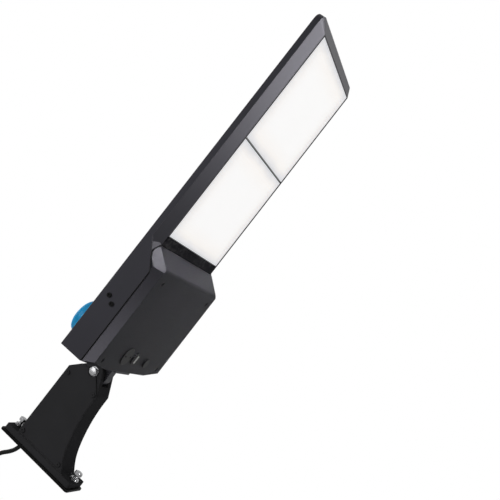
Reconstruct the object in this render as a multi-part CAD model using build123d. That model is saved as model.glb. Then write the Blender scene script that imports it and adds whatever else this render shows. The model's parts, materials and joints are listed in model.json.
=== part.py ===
from build123d import *
import math
import os

# LED parking lot light on a straight pole arm, with a tilting head.
# Sizes are millimetres. +Z is up and +X runs from the pole out along the head.
# The origin is the middle of the face that lies against the pole.

# Fits
FIT = 0.1               # radial room round a shank in its hole
RUNNING_GAP = 0.3       # room between neighbours that move or drop in
REACH = 5.0             # how far a cutting shape runs past what it cuts

ARC_SHARE = 0.45        # part of the shorter run that a cord's arc may take

# Pole plate, gasket and arm foot
PLATE_THICK = 4.0
PLATE_CORNER = 3.0
PLATE_END_MARGIN = 3.5      # from the foot's end to the plate's end
PLATE_SIDE_MARGIN = 2.0
FOOT_GASKET_THICK = 1.2
FOOT_GASKET_INSET = 0.5
FOOT_END = 8.65             # from a bolt to the foot's end
FOOT_SIDE_STEP = 2.0        # from the arm's side to the foot's side
FOOT_THICK = 9.8
FOOT_CORNER = 4.0

# Mounting bolts, drawn run in part of the way
BOLT_SPACING = 139.7
BOLT_D = 8.0
BOLT_THREAD_D = 7.2         # the thread drawn plain at its middle, on the tail behind the plate
BOLT_HOLE_D = 9.0
BOLT_HEAD_FLATS = 13.0
BOLT_HEAD_THICK = 5.3
BOLT_STAND_OFF = 10.5
BOLT_LENGTH = 35.0
WASHER_D = 16.0
WASHER_THICK = 1.6
SPRING_WASHER_D = 14.8
SPRING_WASHER_THICK = 2.0
SPRING_WASHER_SPLIT = 1.6

# Arm
ARM_WIDTH = 48.0
ARM_WALL = 4.0
ARM_COVER_THICK = 2.5
ARM_COVER_GAP = 2.0
ARM_FLARE_START = 37.5      # from the pivot back to where the underside starts to flare
ARM_FLARE_R = 291.0         # long gentle curve of the underside
ARM_FLARE_TURN = 17.4       # degrees of it, before the tighter curve down to the foot
ARM_FOOT_ROOM = 6.85        # from the lower washers up to the arm's underside at the foot
ARM_TOP_BACK = 20.5         # from the pivot back to the end of the arm's top
ARM_BOTTOM_BACK = 29.5      # from the pivot back to the end of the arm's underside
ARM_TOP_RISE = 42.4         # from the pivot up to the arm's top
ARM_BOTTOM_DROP = 32.3      # from the pivot down to the arm's waist
ARM_WINDOW_WIDTH = 36.0
ARM_WINDOW_TOP = 1.0        # from the arm's top down to the foot's opening
ARM_SCREW_INSET = 6.5
ARM_BOSS_D = 10.0
ARM_BOSS_DEPTH = 14.0
COVER_NOSE_SHARE = 0.55     # how far the side cover follows the slope from the top to the nose
COVER_TIP_PAST = 1.0        # from the pivot forward to the side cover's tip
COVER_TIP_DROP = 4.4        # from the pivot down to it

# Tilt knuckle
PIVOT_X = 177.5
PIVOT_Z = 12.0
CHEEK_R = 15.5
HUB_R = 22.0
HUB_WIDTH = 22.0
TOOTH_COUNT = 36
TOOTH_HEIGHT = 1.0
TOOTH_INNER_R = 8.8
PIVOT_BOLT_D = 8.0
PIVOT_NUT_THICK = 8.0
PIVOT_BOLT_SPARE = 2.0
COVER_NOTCH_R = 10.0
HUB_NECK_OFFSET = 7.3       # from the pivot to where the neck leaves the hub
HUB_NECK_SWING = 14.0       # from the pivot back to the end of the room under the hub for its neck
HUB_PAD_THICK = 3.0
HUB_FLANGE_THICK = 6.0
HUB_FLANGE_WIDTH = 58.0
HUB_FLANGE_UP = 17.0
HUB_FLANGE_DOWN = 34.0
HUB_SCREW_Y = 21.0
HUB_SCREW_UP = 10.0
HUB_SCREW_DOWN = 15.0
WIRE_HOLE_D = 10.0
WIRE_HOLE_RISE = 9.0

# Head
HEAD_LENGTH = 650.0
HEAD_WIDTH = 300.0
HEAD_SETBACK = 28.5         # from the pivot to the head's rear wall
HEAD_RISE = 20.5            # from the pivot up to the head's top
EDGE_WALL = 11.0
EDGE_CHAMFER_IN = 20.5
EDGE_CHAMFER_DOWN = 12.5
EDGE_ROUND = 1.5
CORNER_R = 14.0
LENS_CORNER_R = 2.0
HOUSING_WALL = 3.0
TOP_WALL = 3.0
BOX_WALL_DEPTH = 43.5
BOX_LENGTH = 187.0
COVER_DEPTH = 15.2
COVER_CHAMFER = 15.5
COVER_WALL = 2.5
COVER_NOSE_RUN = 26.4
COVER_NOSE_ROUND = 10.0
SEAM_BEND_BACK = 15.0
SEAM_SLANT_RUN = 28.3
FRONT_FACET_RUN = 4.0
FRONT_FACET_WIDTH = 4.2
FRONT_FACET_AHEAD = 9.0     # from the seam's bend forward to the facet's upper corner
REAR_FACET_WIDTH = 57.0
REAR_FACET_RUN = 9.0
SEAM_GASKET_THICK = 1.2
SEAM_GASKET_INSET = 0.4
SEAM_GASKET_WIDTH = 2.0

# Cooling fins
FIN_COUNT = 13
FIN_THICK = 4.5
FIN_SIDE_GAP = 14.95        # open trough between the outer fins and the rim
FIN_DROP = 1.0
FIN_START = 221.0           # from the head's rear wall
FIN_RIM = 8.0
BASE_THICK = 4.0
FIN_BOSS_D = 9.0
FIN_BOSS_HEIGHT = 6.0

# Lens panels and light boards
LENS_START = 230.5          # from the head's rear wall
LENS_DIVIDER = 427.0
LENS_LIP = 1.2
LENS_GAP = 1.0
LENS_SINK = 0.3
LENS_THICK = 4.0
RECESS_DEPTH = 8.4
LENS_GASKET_WIDTH = 4.5
BOARD_THICK = 1.6
CHIP_ROWS = 8
CHIP_COLUMNS = 6
CHIP_SIZE = 5.0
CHIP_THICK = 0.8
BOARD_SCREW_D = 3.0
BOARD_SCREW_HEAD_D = 5.6
BOARD_SCREW_HEAD_THICK = 1.8
BOARD_SCREW_LENGTH = 8.0
BOARD_SCREW_GAP_COUNT = 2.5     # fin pitches from the middle line to the board screws
DUCT_D = 7.0
DUCT_Y = 40.0

# Driver and wiring inside the box
DRIVER_LENGTH = 230.0
DRIVER_HEIGHT = 35.0
DRIVER_START = 79.0         # from the head's rear wall
TRAY_THICK = 1.5
TRAY_FLANGE_HEIGHT = 32.0
TRAY_FLANGE_WIDTH = 34.0
TRAY_SEAM_GAP = 2.0
TRAY_SCREW_SPOTS = ((105.0, 28.0), (96.5, 16.0))    # from the rear wall, up from the seam
DRIVER_SCREW_INSET = 7.0
DRIVER_SCREW_LENGTH = 7.0
SURGE_SIZE = (26.0, 50.0, 25.0)
SURGE_FRONT_ROOM = 6.4      # to the box's front wall
SURGE_BACK_ROOM = 9.0       # to the driver
TERMINAL_SIZE = (20.0, 50.0, 15.0)
TERMINAL_START = 60.0       # from the head's rear wall to its middle
TERMINAL_Y = -70.0
WIRE_D = 3.0
SUPPLY_D = 7.0
SCREW_D = 4.0
SCREW_HEAD_D = 7.6
SCREW_HEAD_THICK = 2.6
SCREW_SOCKET_FLATS = 2.5
SCREW_SOCKET_DEPTH = 1.4
TRAY_SCREW_LENGTH = 6.5
ARM_SCREW_LENGTH = 12.0
HUB_SCREW_LENGTH = 11.0

# Cover screws
COVER_SCREW_REAR = 16.0         # from the rear wall
COVER_SCREW_REAR_SIDE = 35.0    # from the head's side
COVER_SCREW_FRONT = 21.0        # from the box's front
COVER_SCREW_FRONT_SIDE = 38.0
COVER_POST_D = 13.0
COVER_BOSS_D = 10.0
COVER_SCREW_SINK = 3.5
COVER_SCREW_LENGTH = 24.0

# Round fittings under the cover: distance from the rear wall, place across the head
PORT_SPOT = (30.5, -42.0)
PORT_CAP_D = 33.0
PORT_CAP_THICK = 1.8
PORT_CAP_EDGE = 0.8
PORT_SPIGOT_D = 26.0
PORT_PIN_D = 4.0
PORT_PIN_PITCH = 19.0
PORT_PIN_DEPTH = 1.2
KNOB_SPOT = (29.4, -6.8)
KNOB_D = 22.0
KNOB_THICK = 1.8
KNOB_EDGE = 0.6
KNOB_SHAFT_D = 6.0
POINTER_LENGTH = 15.0
POINTER_WIDTH = 2.8
POINTER_DEPTH = 1.0
POINTER_PROUD = 0.4
SWITCH_SIZE = 20.0
SWITCH_HEIGHT = 14.0
SWITCH_BORE_DEPTH = 8.0
VENT_SPOT = (24.8, 47.5)
VENT_D = 17.0
VENT_THICK = 2.6
VENT_EDGE = 0.6
VENT_SPIGOT_D = 12.0
VENT_HOLE_D = 1.2
VENT_HOLE_COUNT = 8
SPIGOT_LENGTH = 6.0

# Photocontrol and its socket
CELL_SETBACK = 26.5         # from the head's rear wall
BOSS_R = 34.0
BOSS_HEIGHT = 5.0
SOCKET_GASKET_THICK = 1.0
SOCKET_R = 37.0
SOCKET_HEIGHT = 8.5
SOCKET_BODY_R = 20.0
SOCKET_BODY_DEPTH = 12.5
SOCKET_SCREW_R = 29.0
SOCKET_SCREW_LENGTH = 10.0
CELL_RIM_R = 40.0
CELL_RIM_HEIGHT = 6.0
CELL_FOOT_R = 35.5
CELL_TOP_R = 32.5
CELL_HEIGHT = 55.0
CELL_SHOULDER_R = 7.0
CELL_WALL = 2.2
CELL_BASE_THICK = 3.0
BLADE_COUNT = 3
BLADE_INNER_R = 11.0
BLADE_OUTER_R = 14.0
BLADE_SPAN = 40.0
BLADE_LENGTH = 10.0
TWIST = 35.0
SLOT_ROOM = 1.0
CELL_BOARD_WIDTH = 44.0
CELL_BOARD_HEIGHT = 34.0
CELL_BOARD_THICK = 1.6
RELAY_SIZE = (15.0, 19.0, 16.0)
SENSOR_D = 6.0
SENSOR_LENGTH = 5.0

# Rating plate, left blank
RATING_LENGTH = 146.0
RATING_WIDTH = 30.0
RATING_THICK = 0.4
RATING_SPOT = (97.0, 7.0)

# Supply lead: it leaves the plate, rises behind it and hangs with bare cores
LEAD_D = 7.5
LEAD_Z = 44.0
GROMMET_D = 13.5
GROMMET_FLANGE_D = 16.5
GROMMET_FLANGE_THICK = 2.0
GROMMET_SINK = 0.3
LEAD_START = 6.0
LEAD_BENDS = (              # from the middle of the plate's hole: along X, along Y, up
    (-6.5, 0.0, 0.0), (-18.5, 0.0, 3.5), (-29.0, 0.0, 10.5), (-38.5, 0.0, 20.0), (-50.0, -0.5, 26.0),
    (-62.5, -1.0, 28.5), (-75.5, -1.5, 27.5), (-87.5, -2.0, 22.5), (-97.5, -2.5, 14.0), (-104.5, -3.0, 3.0),
    (-108.0, -3.5, -9.5), (-109.5, -4.0, -25.5), (-110.0, -4.0, -49.5), (-109.5, -3.5, -73.5),
)
ARM_LEAD_SAG = (            # share of the run through the arm, along Y, down
    (0.134, 0.0, 0.0), (0.308, 1.0, 6.0), (0.508, 2.0, 9.5), (0.709, 1.0, 5.5), (0.883, 0.0, 0.0),
)
SUPPLY_BENDS = (            # from the middle of the wire hole in the rear wall: along X, along Y, up
    (-4.0, 0.0, 0.0), (13.0, 0.0, 0.0), (26.0, -9.0, -1.5), (34.0, -25.0, -2.5), (36.5, -43.0, -2.0),
    (40.0, -56.0, -0.5), (47.0, -65.0, 0.5),
)
CORE_D = 2.6
CORE_LENGTH = 30.0
CORE_RING_R = 2.2

# Places worked out from the sizes above
FOOT_HEIGHT = BOLT_SPACING + 2 * FOOT_END
FOOT_WIDTH = ARM_WIDTH + 2 * FOOT_SIDE_STEP
PLATE_HEIGHT = FOOT_HEIGHT + 2 * PLATE_END_MARGIN
PLATE_WIDTH = FOOT_WIDTH + 2 * PLATE_SIDE_MARGIN
FOOT_BACK = PLATE_THICK + FOOT_GASKET_THICK
FOOT_FRONT = FOOT_BACK + FOOT_THICK
ARM_TOP = PIVOT_Z + ARM_TOP_RISE
ARM_WAIST = PIVOT_Z - ARM_BOTTOM_DROP
ARM_TOP_END = PIVOT_X - ARM_TOP_BACK
ARM_BOTTOM_END = PIVOT_X - ARM_BOTTOM_BACK
ARM_FLARE_X = PIVOT_X - ARM_FLARE_START
ARM_FOOT_Z = WASHER_D / 2 + ARM_FOOT_ROOM - BOLT_SPACING / 2
ARM_NEAR_FACE = ARM_COVER_THICK - ARM_WIDTH / 2
SLOT_HALF = HUB_WIDTH / 2 + RUNNING_GAP + TOOTH_HEIGHT
SLOT_BACK = PIVOT_X - HUB_R - ARM_COVER_GAP
HEAD_REAR = PIVOT_X + HEAD_SETBACK
HEAD_FRONT = HEAD_REAR + HEAD_LENGTH
HEAD_HALF = HEAD_WIDTH / 2
HEAD_TOP = PIVOT_Z + HEAD_RISE
WALL_FOOT = HEAD_TOP - EDGE_WALL
LENS_PLANE = WALL_FOOT - EDGE_CHAMFER_DOWN
SEAM = HEAD_TOP - BOX_WALL_DEPTH
COVER_BOTTOM = SEAM - COVER_DEPTH
COVER_FLOOR = COVER_BOTTOM + COVER_WALL
COVER_RIM = SEAM - SEAM_GASKET_THICK
BOX_FRONT = HEAD_REAR + BOX_LENGTH
SEAM_BEND = BOX_FRONT - SEAM_BEND_BACK
SEAM_SLANT_END = SEAM_BEND + SEAM_SLANT_RUN
COVER_NOSE = BOX_FRONT + COVER_NOSE_RUN
CAVITY_TOP = HEAD_TOP - TOP_WALL
CAVITY_FRONT = SEAM_SLANT_END - HOUSING_WALL
BOARD_SEAT = LENS_PLANE + RECESS_DEPTH
FIN_FLOOR = BOARD_SEAT + BASE_THICK
FIN_PITCH = (HEAD_WIDTH - 2 * FIN_RIM - 2 * FIN_SIDE_GAP - FIN_THICK) / (FIN_COUNT - 1)
FIN_REAR = HEAD_REAR + FIN_START
FIN_FRONT = HEAD_FRONT - FIN_RIM
RECESS_REAR = HEAD_REAR + LENS_START
RECESS_FRONT = HEAD_FRONT - EDGE_CHAMFER_IN - LENS_LIP
RECESS_MIDDLE = HEAD_REAR + LENS_DIVIDER
RECESS_HALF = HEAD_HALF - EDGE_CHAMFER_IN - LENS_LIP
LENS_BACK = LENS_PLANE + LENS_SINK + LENS_THICK
DUCT_Z = (LENS_PLANE + BOARD_SEAT) / 2
CELL_X = HEAD_REAR + CELL_SETBACK
BOSS_TOP = HEAD_TOP + BOSS_HEIGHT
SOCKET_SEAT = BOSS_TOP + SOCKET_GASKET_THICK
SOCKET_TOP = SOCKET_SEAT + SOCKET_HEIGHT
CELL_FOOT = SOCKET_TOP + RUNNING_GAP
TRAY_FLOOR = SEAM + TRAY_SEAM_GAP
DRIVER_FLOOR = TRAY_FLOOR + TRAY_THICK
DRIVER_REAR = HEAD_REAR + DRIVER_START
SURGE_X = CAVITY_FRONT - SURGE_FRONT_ROOM - SURGE_SIZE[0] / 2
TERMINAL_X = HEAD_REAR + TERMINAL_START
DRIVER_FRONT = SURGE_X - SURGE_SIZE[0] / 2 - SURGE_BACK_ROOM
PAD_INSIDE = HEAD_REAR + HOUSING_WALL + HUB_PAD_THICK
HUB_FACE = HEAD_REAR - HUB_FLANGE_THICK
WIRE_HOLE_Z = PIVOT_Z + WIRE_HOLE_RISE


def block(x_range, y_range, z_range):
    """Box between two limits along each axis."""
    spans = [high - low for low, high in (x_range, y_range, z_range)]
    middle = [(low + high) / 2 for low, high in (x_range, y_range, z_range)]
    return Pos(*middle) * Box(*spans)


def side_prism(outline, y_range):
    """Outline drawn in X and Z, either points or edges, carried from one y to the other."""
    edges = outline if hasattr(outline[0], "length") else Polyline(*outline, close=True)
    plane = Plane((0, y_range[1], 0), x_dir=(1, 0, 0), z_dir=(0, -1, 0))
    return extrude(plane * make_face(edges), y_range[1] - y_range[0])


def rod(start, axis, radius, length):
    """Round bar from a start point along an axis."""
    return Plane(start, z_dir=axis) * Cylinder(radius, length, align=(Align.CENTER, Align.CENTER, Align.MIN))


def ring(start, axis, outer, inner, length):
    """Round tube from a start point along an axis."""
    return rod(start, axis, outer, length) - rod(start, axis, inner, length)


def hexagon(start, axis, flats, length):
    """Six-sided bar from a start point along an axis."""
    outline = RegularPolygon(flats / 2, 6, major_radius=False)
    return Plane(start, z_dir=axis) * extrude(outline, length)


def sector(start, inner, outer, low, high, height):
    """Part of a flat ring between two angles about +Z."""
    arc_in = CenterArc((0, 0), inner, low, high - low)
    arc_out = CenterArc((0, 0), outer, low, high - low)
    ends = [Line(arc_in @ 0, arc_out @ 0), Line(arc_in @ 1, arc_out @ 1)]
    return Pos(*start) * extrude(make_face([arc_in, arc_out, *ends]), height)


def screw(seat, axis, length, diameter=SCREW_D, head_d=SCREW_HEAD_D, head=SCREW_HEAD_THICK):
    """Round-headed screw: the head stands on the seat, the shank runs along the axis."""
    away = Vector(*axis) * -1
    top = Vector(*seat) + away * head
    body = rod(seat, axis, diameter / 2, length) + rod(seat, away, head_d / 2, head)
    return body - hexagon(top, axis, SCREW_SOCKET_FLATS, SCREW_SOCKET_DEPTH)


def plane_through(first, second, third, outward):
    """Plane through three points, facing the way of the outward hint."""
    normal = (Vector(*second) - Vector(*first)).cross(Vector(*third) - Vector(*first))
    if normal.dot(Vector(*outward)) < 0:
        normal = normal * -1
    return Plane(first, z_dir=normal)


def tube_along(route, diameter):
    """Round cord along a route of straight runs, with arcs as large as the runs allow."""
    points = [Vector(*point) for point in route]
    radii = []
    for before, corner, after in zip(points, points[1:], points[2:]):
        run_in, run_out = corner - before, after - corner
        half_turn = math.radians(run_in.get_angle(run_out) / 2)
        radii.append(ARC_SHARE * min(run_in.length, run_out.length) / math.tan(half_turn))
    path = FilletPolyline(*points, radius=radii)
    section = Plane(path @ 0, z_dir=path % 0) * Circle(diameter / 2)
    tube = sweep(section, path)
    share = tube.volume / (math.pi * diameter**2 / 4 * path.length)
    tightest = round(min(radii), 1)
    print("cord", round(path.length, 1), "tightest arc", tightest, "volume share", round(share, 4))
    return tube


def tangent_point(x, z, radius, side):
    """Point where a line from (x, z) touches a circle round the pivot, on the upper or lower side."""
    away = math.atan2(z - PIVOT_Z, x - PIVOT_X)
    turn = math.acos(radius / math.hypot(x - PIVOT_X, z - PIVOT_Z))
    angle = away - side * turn
    return PIVOT_X + radius * math.cos(angle), PIVOT_Z + radius * math.sin(angle)


# Pole plate and foot


def plate_outline():
    """Pole plate seen along X: an upright rectangle with cut corners."""
    return chamfer(Rectangle(PLATE_WIDTH, PLATE_HEIGHT).vertices(), PLATE_CORNER)


def foot_outline(inset):
    """Arm foot seen along X: an upright rectangle with round corners, drawn in by inset."""
    return fillet(Rectangle(FOOT_WIDTH - 2 * inset, FOOT_HEIGHT - 2 * inset).vertices(), FOOT_CORNER - inset)


def window_block(x_range, top):
    """Opening at the foot for the lead, from the arm's underside wall up to the given height."""
    half = ARM_WINDOW_WIDTH / 2
    return block(x_range, (-half, half), (flare_z(FOOT_FRONT + ARM_WALL, ARM_WALL), top))


def bolt_holes(x_range):
    """Two plain holes for the mounting bolts."""
    length = x_range[1] - x_range[0]
    spots = [(x_range[0], 0, side * BOLT_SPACING / 2) for side in (-1, 1)]
    return [rod(spot, (1, 0, 0), BOLT_HOLE_D / 2, length) for spot in spots]


def back_plate():
    plate = extrude(Plane.YZ * plate_outline(), PLATE_THICK)
    hole = rod((-REACH, 0, LEAD_Z), (1, 0, 0), GROMMET_D / 2 + FIT, PLATE_THICK + 2 * REACH)
    return plate - [hole, *bolt_holes((-REACH, PLATE_THICK + REACH))]


def foot_gasket():
    sheet = extrude(Plane.YZ.offset(PLATE_THICK) * foot_outline(FOOT_GASKET_INSET), FOOT_GASKET_THICK)
    limits = (PLATE_THICK - REACH, FOOT_BACK + REACH)
    return sheet - [window_block(limits, ARM_TOP - ARM_WINDOW_TOP), *bolt_holes(limits)]


def mounting_bolts():
    bolts = []
    for side in (-1, 1):
        z = side * BOLT_SPACING / 2
        seat = FOOT_FRONT + BOLT_STAND_OFF
        shank = rod((0, 0, z), (1, 0, 0), BOLT_D / 2, seat)
        tail = rod((0, 0, z), (-1, 0, 0), BOLT_THREAD_D / 2, BOLT_LENGTH - seat)
        bolts.append(shank + tail + hexagon((seat, 0, z), (1, 0, 0), BOLT_HEAD_FLATS, BOLT_HEAD_THICK))
    return bolts


def flat_washers():
    spots = [(FOOT_FRONT, 0, side * BOLT_SPACING / 2) for side in (-1, 1)]
    return [ring(spot, (1, 0, 0), WASHER_D / 2, BOLT_D / 2 + FIT, WASHER_THICK) for spot in spots]


def spring_washers():
    washers = []
    seat = FOOT_FRONT + WASHER_THICK
    for side in (-1, 1):
        z = side * BOLT_SPACING / 2
        body = ring((seat, 0, z), (1, 0, 0), SPRING_WASHER_D / 2, BOLT_D / 2 + FIT, SPRING_WASHER_THICK)
        half = SPRING_WASHER_SPLIT / 2
        split_cut = block((seat - REACH, seat + REACH), (-half, half), (z, z + SPRING_WASHER_D))
        washers.append(body - split_cut)
    return washers


# Arm


def flare_centres():
    """Centres in X and Z and radii of the underside's two curves, the gentle one first.

    The tight one takes over along a common tangent and ends at the foot's front, at ARM_FOOT_Z.
    """
    across, along = math.sin(math.radians(ARM_FLARE_TURN)), math.cos(math.radians(ARM_FLARE_TURN))
    low = ARM_WAIST - ARM_FLARE_R
    run = ARM_FLARE_X - ARM_FLARE_R * across - FOOT_FRONT
    drop = low + ARM_FLARE_R * along - ARM_FOOT_Z
    radius = (run**2 + drop**2) / (2 * (drop * along - run * across))
    shift = ARM_FLARE_R - radius
    return (ARM_FLARE_X, low, ARM_FLARE_R), (ARM_FLARE_X - shift * across, low + shift * along, radius)


def flare_meet(inset):
    """Where the underside's two curves meet along X, for an underside moved up into the wall by inset."""
    return ARM_FLARE_X - (ARM_FLARE_R + inset) * math.sin(math.radians(ARM_FLARE_TURN))


def flare_z(x, inset):
    """Height of the arm's flared underside at x, moved up into the wall by inset."""
    gentle, tight = flare_centres()
    centre_x, centre_z, radius = gentle if x > flare_meet(inset) else tight
    return centre_z + math.sqrt((radius + inset) ** 2 - (x - centre_x) ** 2)


def flare_arcs(x_start, inset):
    """Arched underside of the arm, from the waist back to x_start."""
    ends = (ARM_FLARE_X, flare_meet(inset), x_start)
    arcs = []
    for near, far in zip(ends, ends[1:]):
        stations = (near, (near + far) / 2, far)
        arcs.append(ThreePointArc(*[(x, flare_z(x, inset)) for x in stations]))
    return arcs


def arm_outline():
    """Side view of the arm: straight top, arched underside and a round nose at the pivot."""
    foot_z = flare_z(FOOT_FRONT, 0)
    upper = tangent_point(ARM_TOP_END, ARM_TOP, CHEEK_R, 1)
    lower = tangent_point(ARM_BOTTOM_END, ARM_WAIST, CHEEK_R, -1)
    return [
        Line((FOOT_BACK, ARM_TOP), (ARM_TOP_END, ARM_TOP)),
        Line((ARM_TOP_END, ARM_TOP), upper),
        ThreePointArc(upper, (PIVOT_X + CHEEK_R, PIVOT_Z), lower),
        Line(lower, (ARM_BOTTOM_END, ARM_WAIST)),
        Line((ARM_BOTTOM_END, ARM_WAIST), (ARM_FLARE_X, ARM_WAIST)),
        *flare_arcs(FOOT_FRONT, 0),
        Line((FOOT_FRONT, foot_z), (FOOT_BACK, foot_z)),
        Line((FOOT_BACK, foot_z), (FOOT_BACK, ARM_TOP)),
    ]


def arm_hollow():
    """Wiring space in the arm, open towards the side cover."""
    back = FOOT_FRONT + ARM_WALL
    front = SLOT_BACK - ARM_WALL
    top = ARM_TOP - ARM_WALL
    floor_front = ARM_WAIST + ARM_WALL
    outline = [
        Line((back, top), (front, top)),
        Line((front, top), (front, floor_front)),
        Line((front, floor_front), (ARM_FLARE_X, floor_front)),
        *flare_arcs(back, ARM_WALL),
        Line((back, flare_z(back, ARM_WALL)), (back, top)),
    ]
    return side_prism(outline, (ARM_NEAR_FACE - REACH, ARM_WIDTH / 2 - ARM_WALL))


def arm_screw_spots():
    """Places of the four side cover screws, in X and Z."""
    rear = FOOT_FRONT + ARM_COVER_GAP + ARM_SCREW_INSET
    front = SLOT_BACK - ARM_SCREW_INSET
    top = ARM_TOP - ARM_SCREW_INSET
    low_front = (front, ARM_WAIST + ARM_SCREW_INSET)
    low_rear = (rear, flare_z(rear, ARM_SCREW_INSET))
    return [(rear, top), (front, top), low_front, low_rear]


def face_teeth(y, facing, inner, outer):
    """Ring of radial ridges round the pivot on a face at y, standing up along facing."""
    half = math.pi * inner / TOOTH_COUNT - FIT
    root = y - facing * TOOTH_HEIGHT / 2
    tip = y + facing * TOOTH_HEIGHT
    outline = make_face(Polyline((-half, root), (half, root), (half, y), (0, tip), (-half, y), close=True))
    ridge = extrude(Plane((inner, 0, 0), x_dir=(0, 0, -1), z_dir=(1, 0, 0)) * outline, outer - inner)
    step = 360 / TOOTH_COUNT
    return [Pos(PIVOT_X, 0, PIVOT_Z) * Rot(0, index * step, 0) * ridge for index in range(TOOTH_COUNT)]


def hub_slot():
    """Slot for the hub at the arm's end: round behind the hub, open above it and under its swinging neck."""
    reach = PIVOT_X - SLOT_BACK
    low = math.sqrt(reach**2 - HUB_NECK_SWING**2)
    turn = math.atan2(low, HUB_NECK_SWING) / 2
    start, end = (SLOT_BACK, PIVOT_Z), (PIVOT_X - HUB_NECK_SWING, PIVOT_Z - low)
    middle = (PIVOT_X - reach * math.cos(turn), PIVOT_Z - reach * math.sin(turn))
    front = PIVOT_X + HUB_R
    outline = [
        ThreePointArc(start, middle, end),
        Line(end, (end[0], -FOOT_HEIGHT)),
        Line((end[0], -FOOT_HEIGHT), (front, -FOOT_HEIGHT)),
        Line((front, -FOOT_HEIGHT), (front, FOOT_HEIGHT)),
        Line((front, FOOT_HEIGHT), (SLOT_BACK, FOOT_HEIGHT)),
        Line((SLOT_BACK, FOOT_HEIGHT), start),
    ]
    return side_prism(outline, (-SLOT_HALF, SLOT_HALF))


def arm_casting():
    body = side_prism(arm_outline(), (ARM_NEAR_FACE, ARM_WIDTH / 2))
    foot = extrude(Plane.YZ.offset(FOOT_BACK) * foot_outline(0), FOOT_THICK)
    rail = side_prism(arm_outline(), (-ARM_WIDTH / 2, ARM_NEAR_FACE))
    rail_x = (FOOT_BACK, FOOT_FRONT + ARM_COVER_GAP)
    rail &= block(rail_x, (-ARM_WIDTH, ARM_WIDTH), (-FOOT_HEIGHT, FOOT_HEIGHT))
    bosses = []
    holes = []
    for x, z in arm_screw_spots():
        spot = (x, ARM_NEAR_FACE, z)
        bosses.append(rod(spot, (0, 1, 0), ARM_BOSS_D / 2, ARM_BOSS_DEPTH) & body)
        holes.append(rod(spot, (0, 1, 0), SCREW_D / 2 + FIT, ARM_SCREW_LENGTH))
    holes.append(rod((PIVOT_X, -ARM_WIDTH, PIVOT_Z), (0, 1, 0), PIVOT_BOLT_D / 2 + FIT, 2 * ARM_WIDTH))
    front_wall = SLOT_BACK - ARM_WALL
    holes.append(rod((front_wall - REACH, 0, LEAD_Z), (1, 0, 0), GROMMET_D / 2 + FIT, ARM_WALL + 2 * REACH))
    holes.append(window_block((FOOT_BACK - REACH, FOOT_FRONT - REACH), ARM_TOP - ARM_WINDOW_TOP))
    holes.append(window_block((FOOT_BACK - REACH, FOOT_FRONT + ARM_WALL + RUNNING_GAP), ARM_TOP - ARM_WALL))
    body = body + foot + rail - arm_hollow() + bosses - [hub_slot(), *holes]
    body = body - bolt_holes((FOOT_BACK - REACH, FOOT_FRONT + REACH))
    outer = CHEEK_R - TOOTH_HEIGHT
    near_teeth = face_teeth(-SLOT_HALF, 1, TOOTH_INNER_R, outer)
    far_teeth = face_teeth(SLOT_HALF, -1, TOOTH_INNER_R, outer)
    return body + near_teeth + far_teeth


def arm_cover():
    start = FOOT_FRONT + ARM_COVER_GAP + RUNNING_GAP
    nose_top = tangent_point(ARM_TOP_END, ARM_TOP, CHEEK_R, 1)
    slope = (nose_top[0] - ARM_TOP_END, nose_top[1] - ARM_TOP)
    upper = (ARM_TOP_END + COVER_NOSE_SHARE * slope[0], ARM_TOP + COVER_NOSE_SHARE * slope[1])
    tip = (PIVOT_X + COVER_TIP_PAST, PIVOT_Z - COVER_TIP_DROP)
    outline = [
        Line((start, ARM_TOP), (ARM_TOP_END, ARM_TOP)),
        Line((ARM_TOP_END, ARM_TOP), upper),
        Line(upper, tip),
        Line(tip, (ARM_BOTTOM_END, ARM_WAIST)),
        Line((ARM_BOTTOM_END, ARM_WAIST), (ARM_FLARE_X, ARM_WAIST)),
        *flare_arcs(start, 0),
        Line((start, flare_z(start, 0)), (start, ARM_TOP)),
    ]
    sheet = side_prism(outline, (-ARM_WIDTH / 2, ARM_NEAR_FACE))
    notch = rod((PIVOT_X, -ARM_WIDTH, PIVOT_Z), (0, 1, 0), COVER_NOTCH_R, ARM_WIDTH)
    radius = SCREW_D / 2 + FIT
    holes = [rod((x, -ARM_WIDTH, z), (0, 1, 0), radius, ARM_WIDTH) for x, z in arm_screw_spots()]
    return (sheet - [notch, *holes]).solids().sort_by(SortBy.VOLUME)[-1]


def arm_cover_screws():
    return [screw((x, -ARM_WIDTH / 2, z), (0, 1, 0), ARM_SCREW_LENGTH) for x, z in arm_screw_spots()]


# Tilt knuckle


def pivot_bolt():
    head = ARM_NEAR_FACE - WASHER_THICK
    length = ARM_WIDTH / 2 + WASHER_THICK + PIVOT_NUT_THICK + PIVOT_BOLT_SPARE - head
    shank = rod((PIVOT_X, head, PIVOT_Z), (0, 1, 0), PIVOT_BOLT_D / 2, length)
    return shank + hexagon((PIVOT_X, head, PIVOT_Z), (0, -1, 0), BOLT_HEAD_FLATS, BOLT_HEAD_THICK)


def pivot_washers():
    starts = (ARM_NEAR_FACE - WASHER_THICK, ARM_WIDTH / 2)
    inner = PIVOT_BOLT_D / 2 + FIT
    return [ring((PIVOT_X, y, PIVOT_Z), (0, 1, 0), WASHER_D / 2, inner, WASHER_THICK) for y in starts]


def pivot_nut():
    seat = (PIVOT_X, ARM_WIDTH / 2 + WASHER_THICK, PIVOT_Z)
    body = hexagon(seat, (0, 1, 0), BOLT_HEAD_FLATS, PIVOT_NUT_THICK)
    return body - rod(seat, (0, 1, 0), PIVOT_BOLT_D / 2 + FIT, PIVOT_NUT_THICK)


def hub_screw_spots():
    """Places of the hub flange screws, in Y and Z."""
    heights = (PIVOT_Z + HUB_SCREW_UP, PIVOT_Z - HUB_SCREW_DOWN)
    return [(y, z) for y in (-HUB_SCREW_Y, HUB_SCREW_Y) for z in heights]


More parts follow.
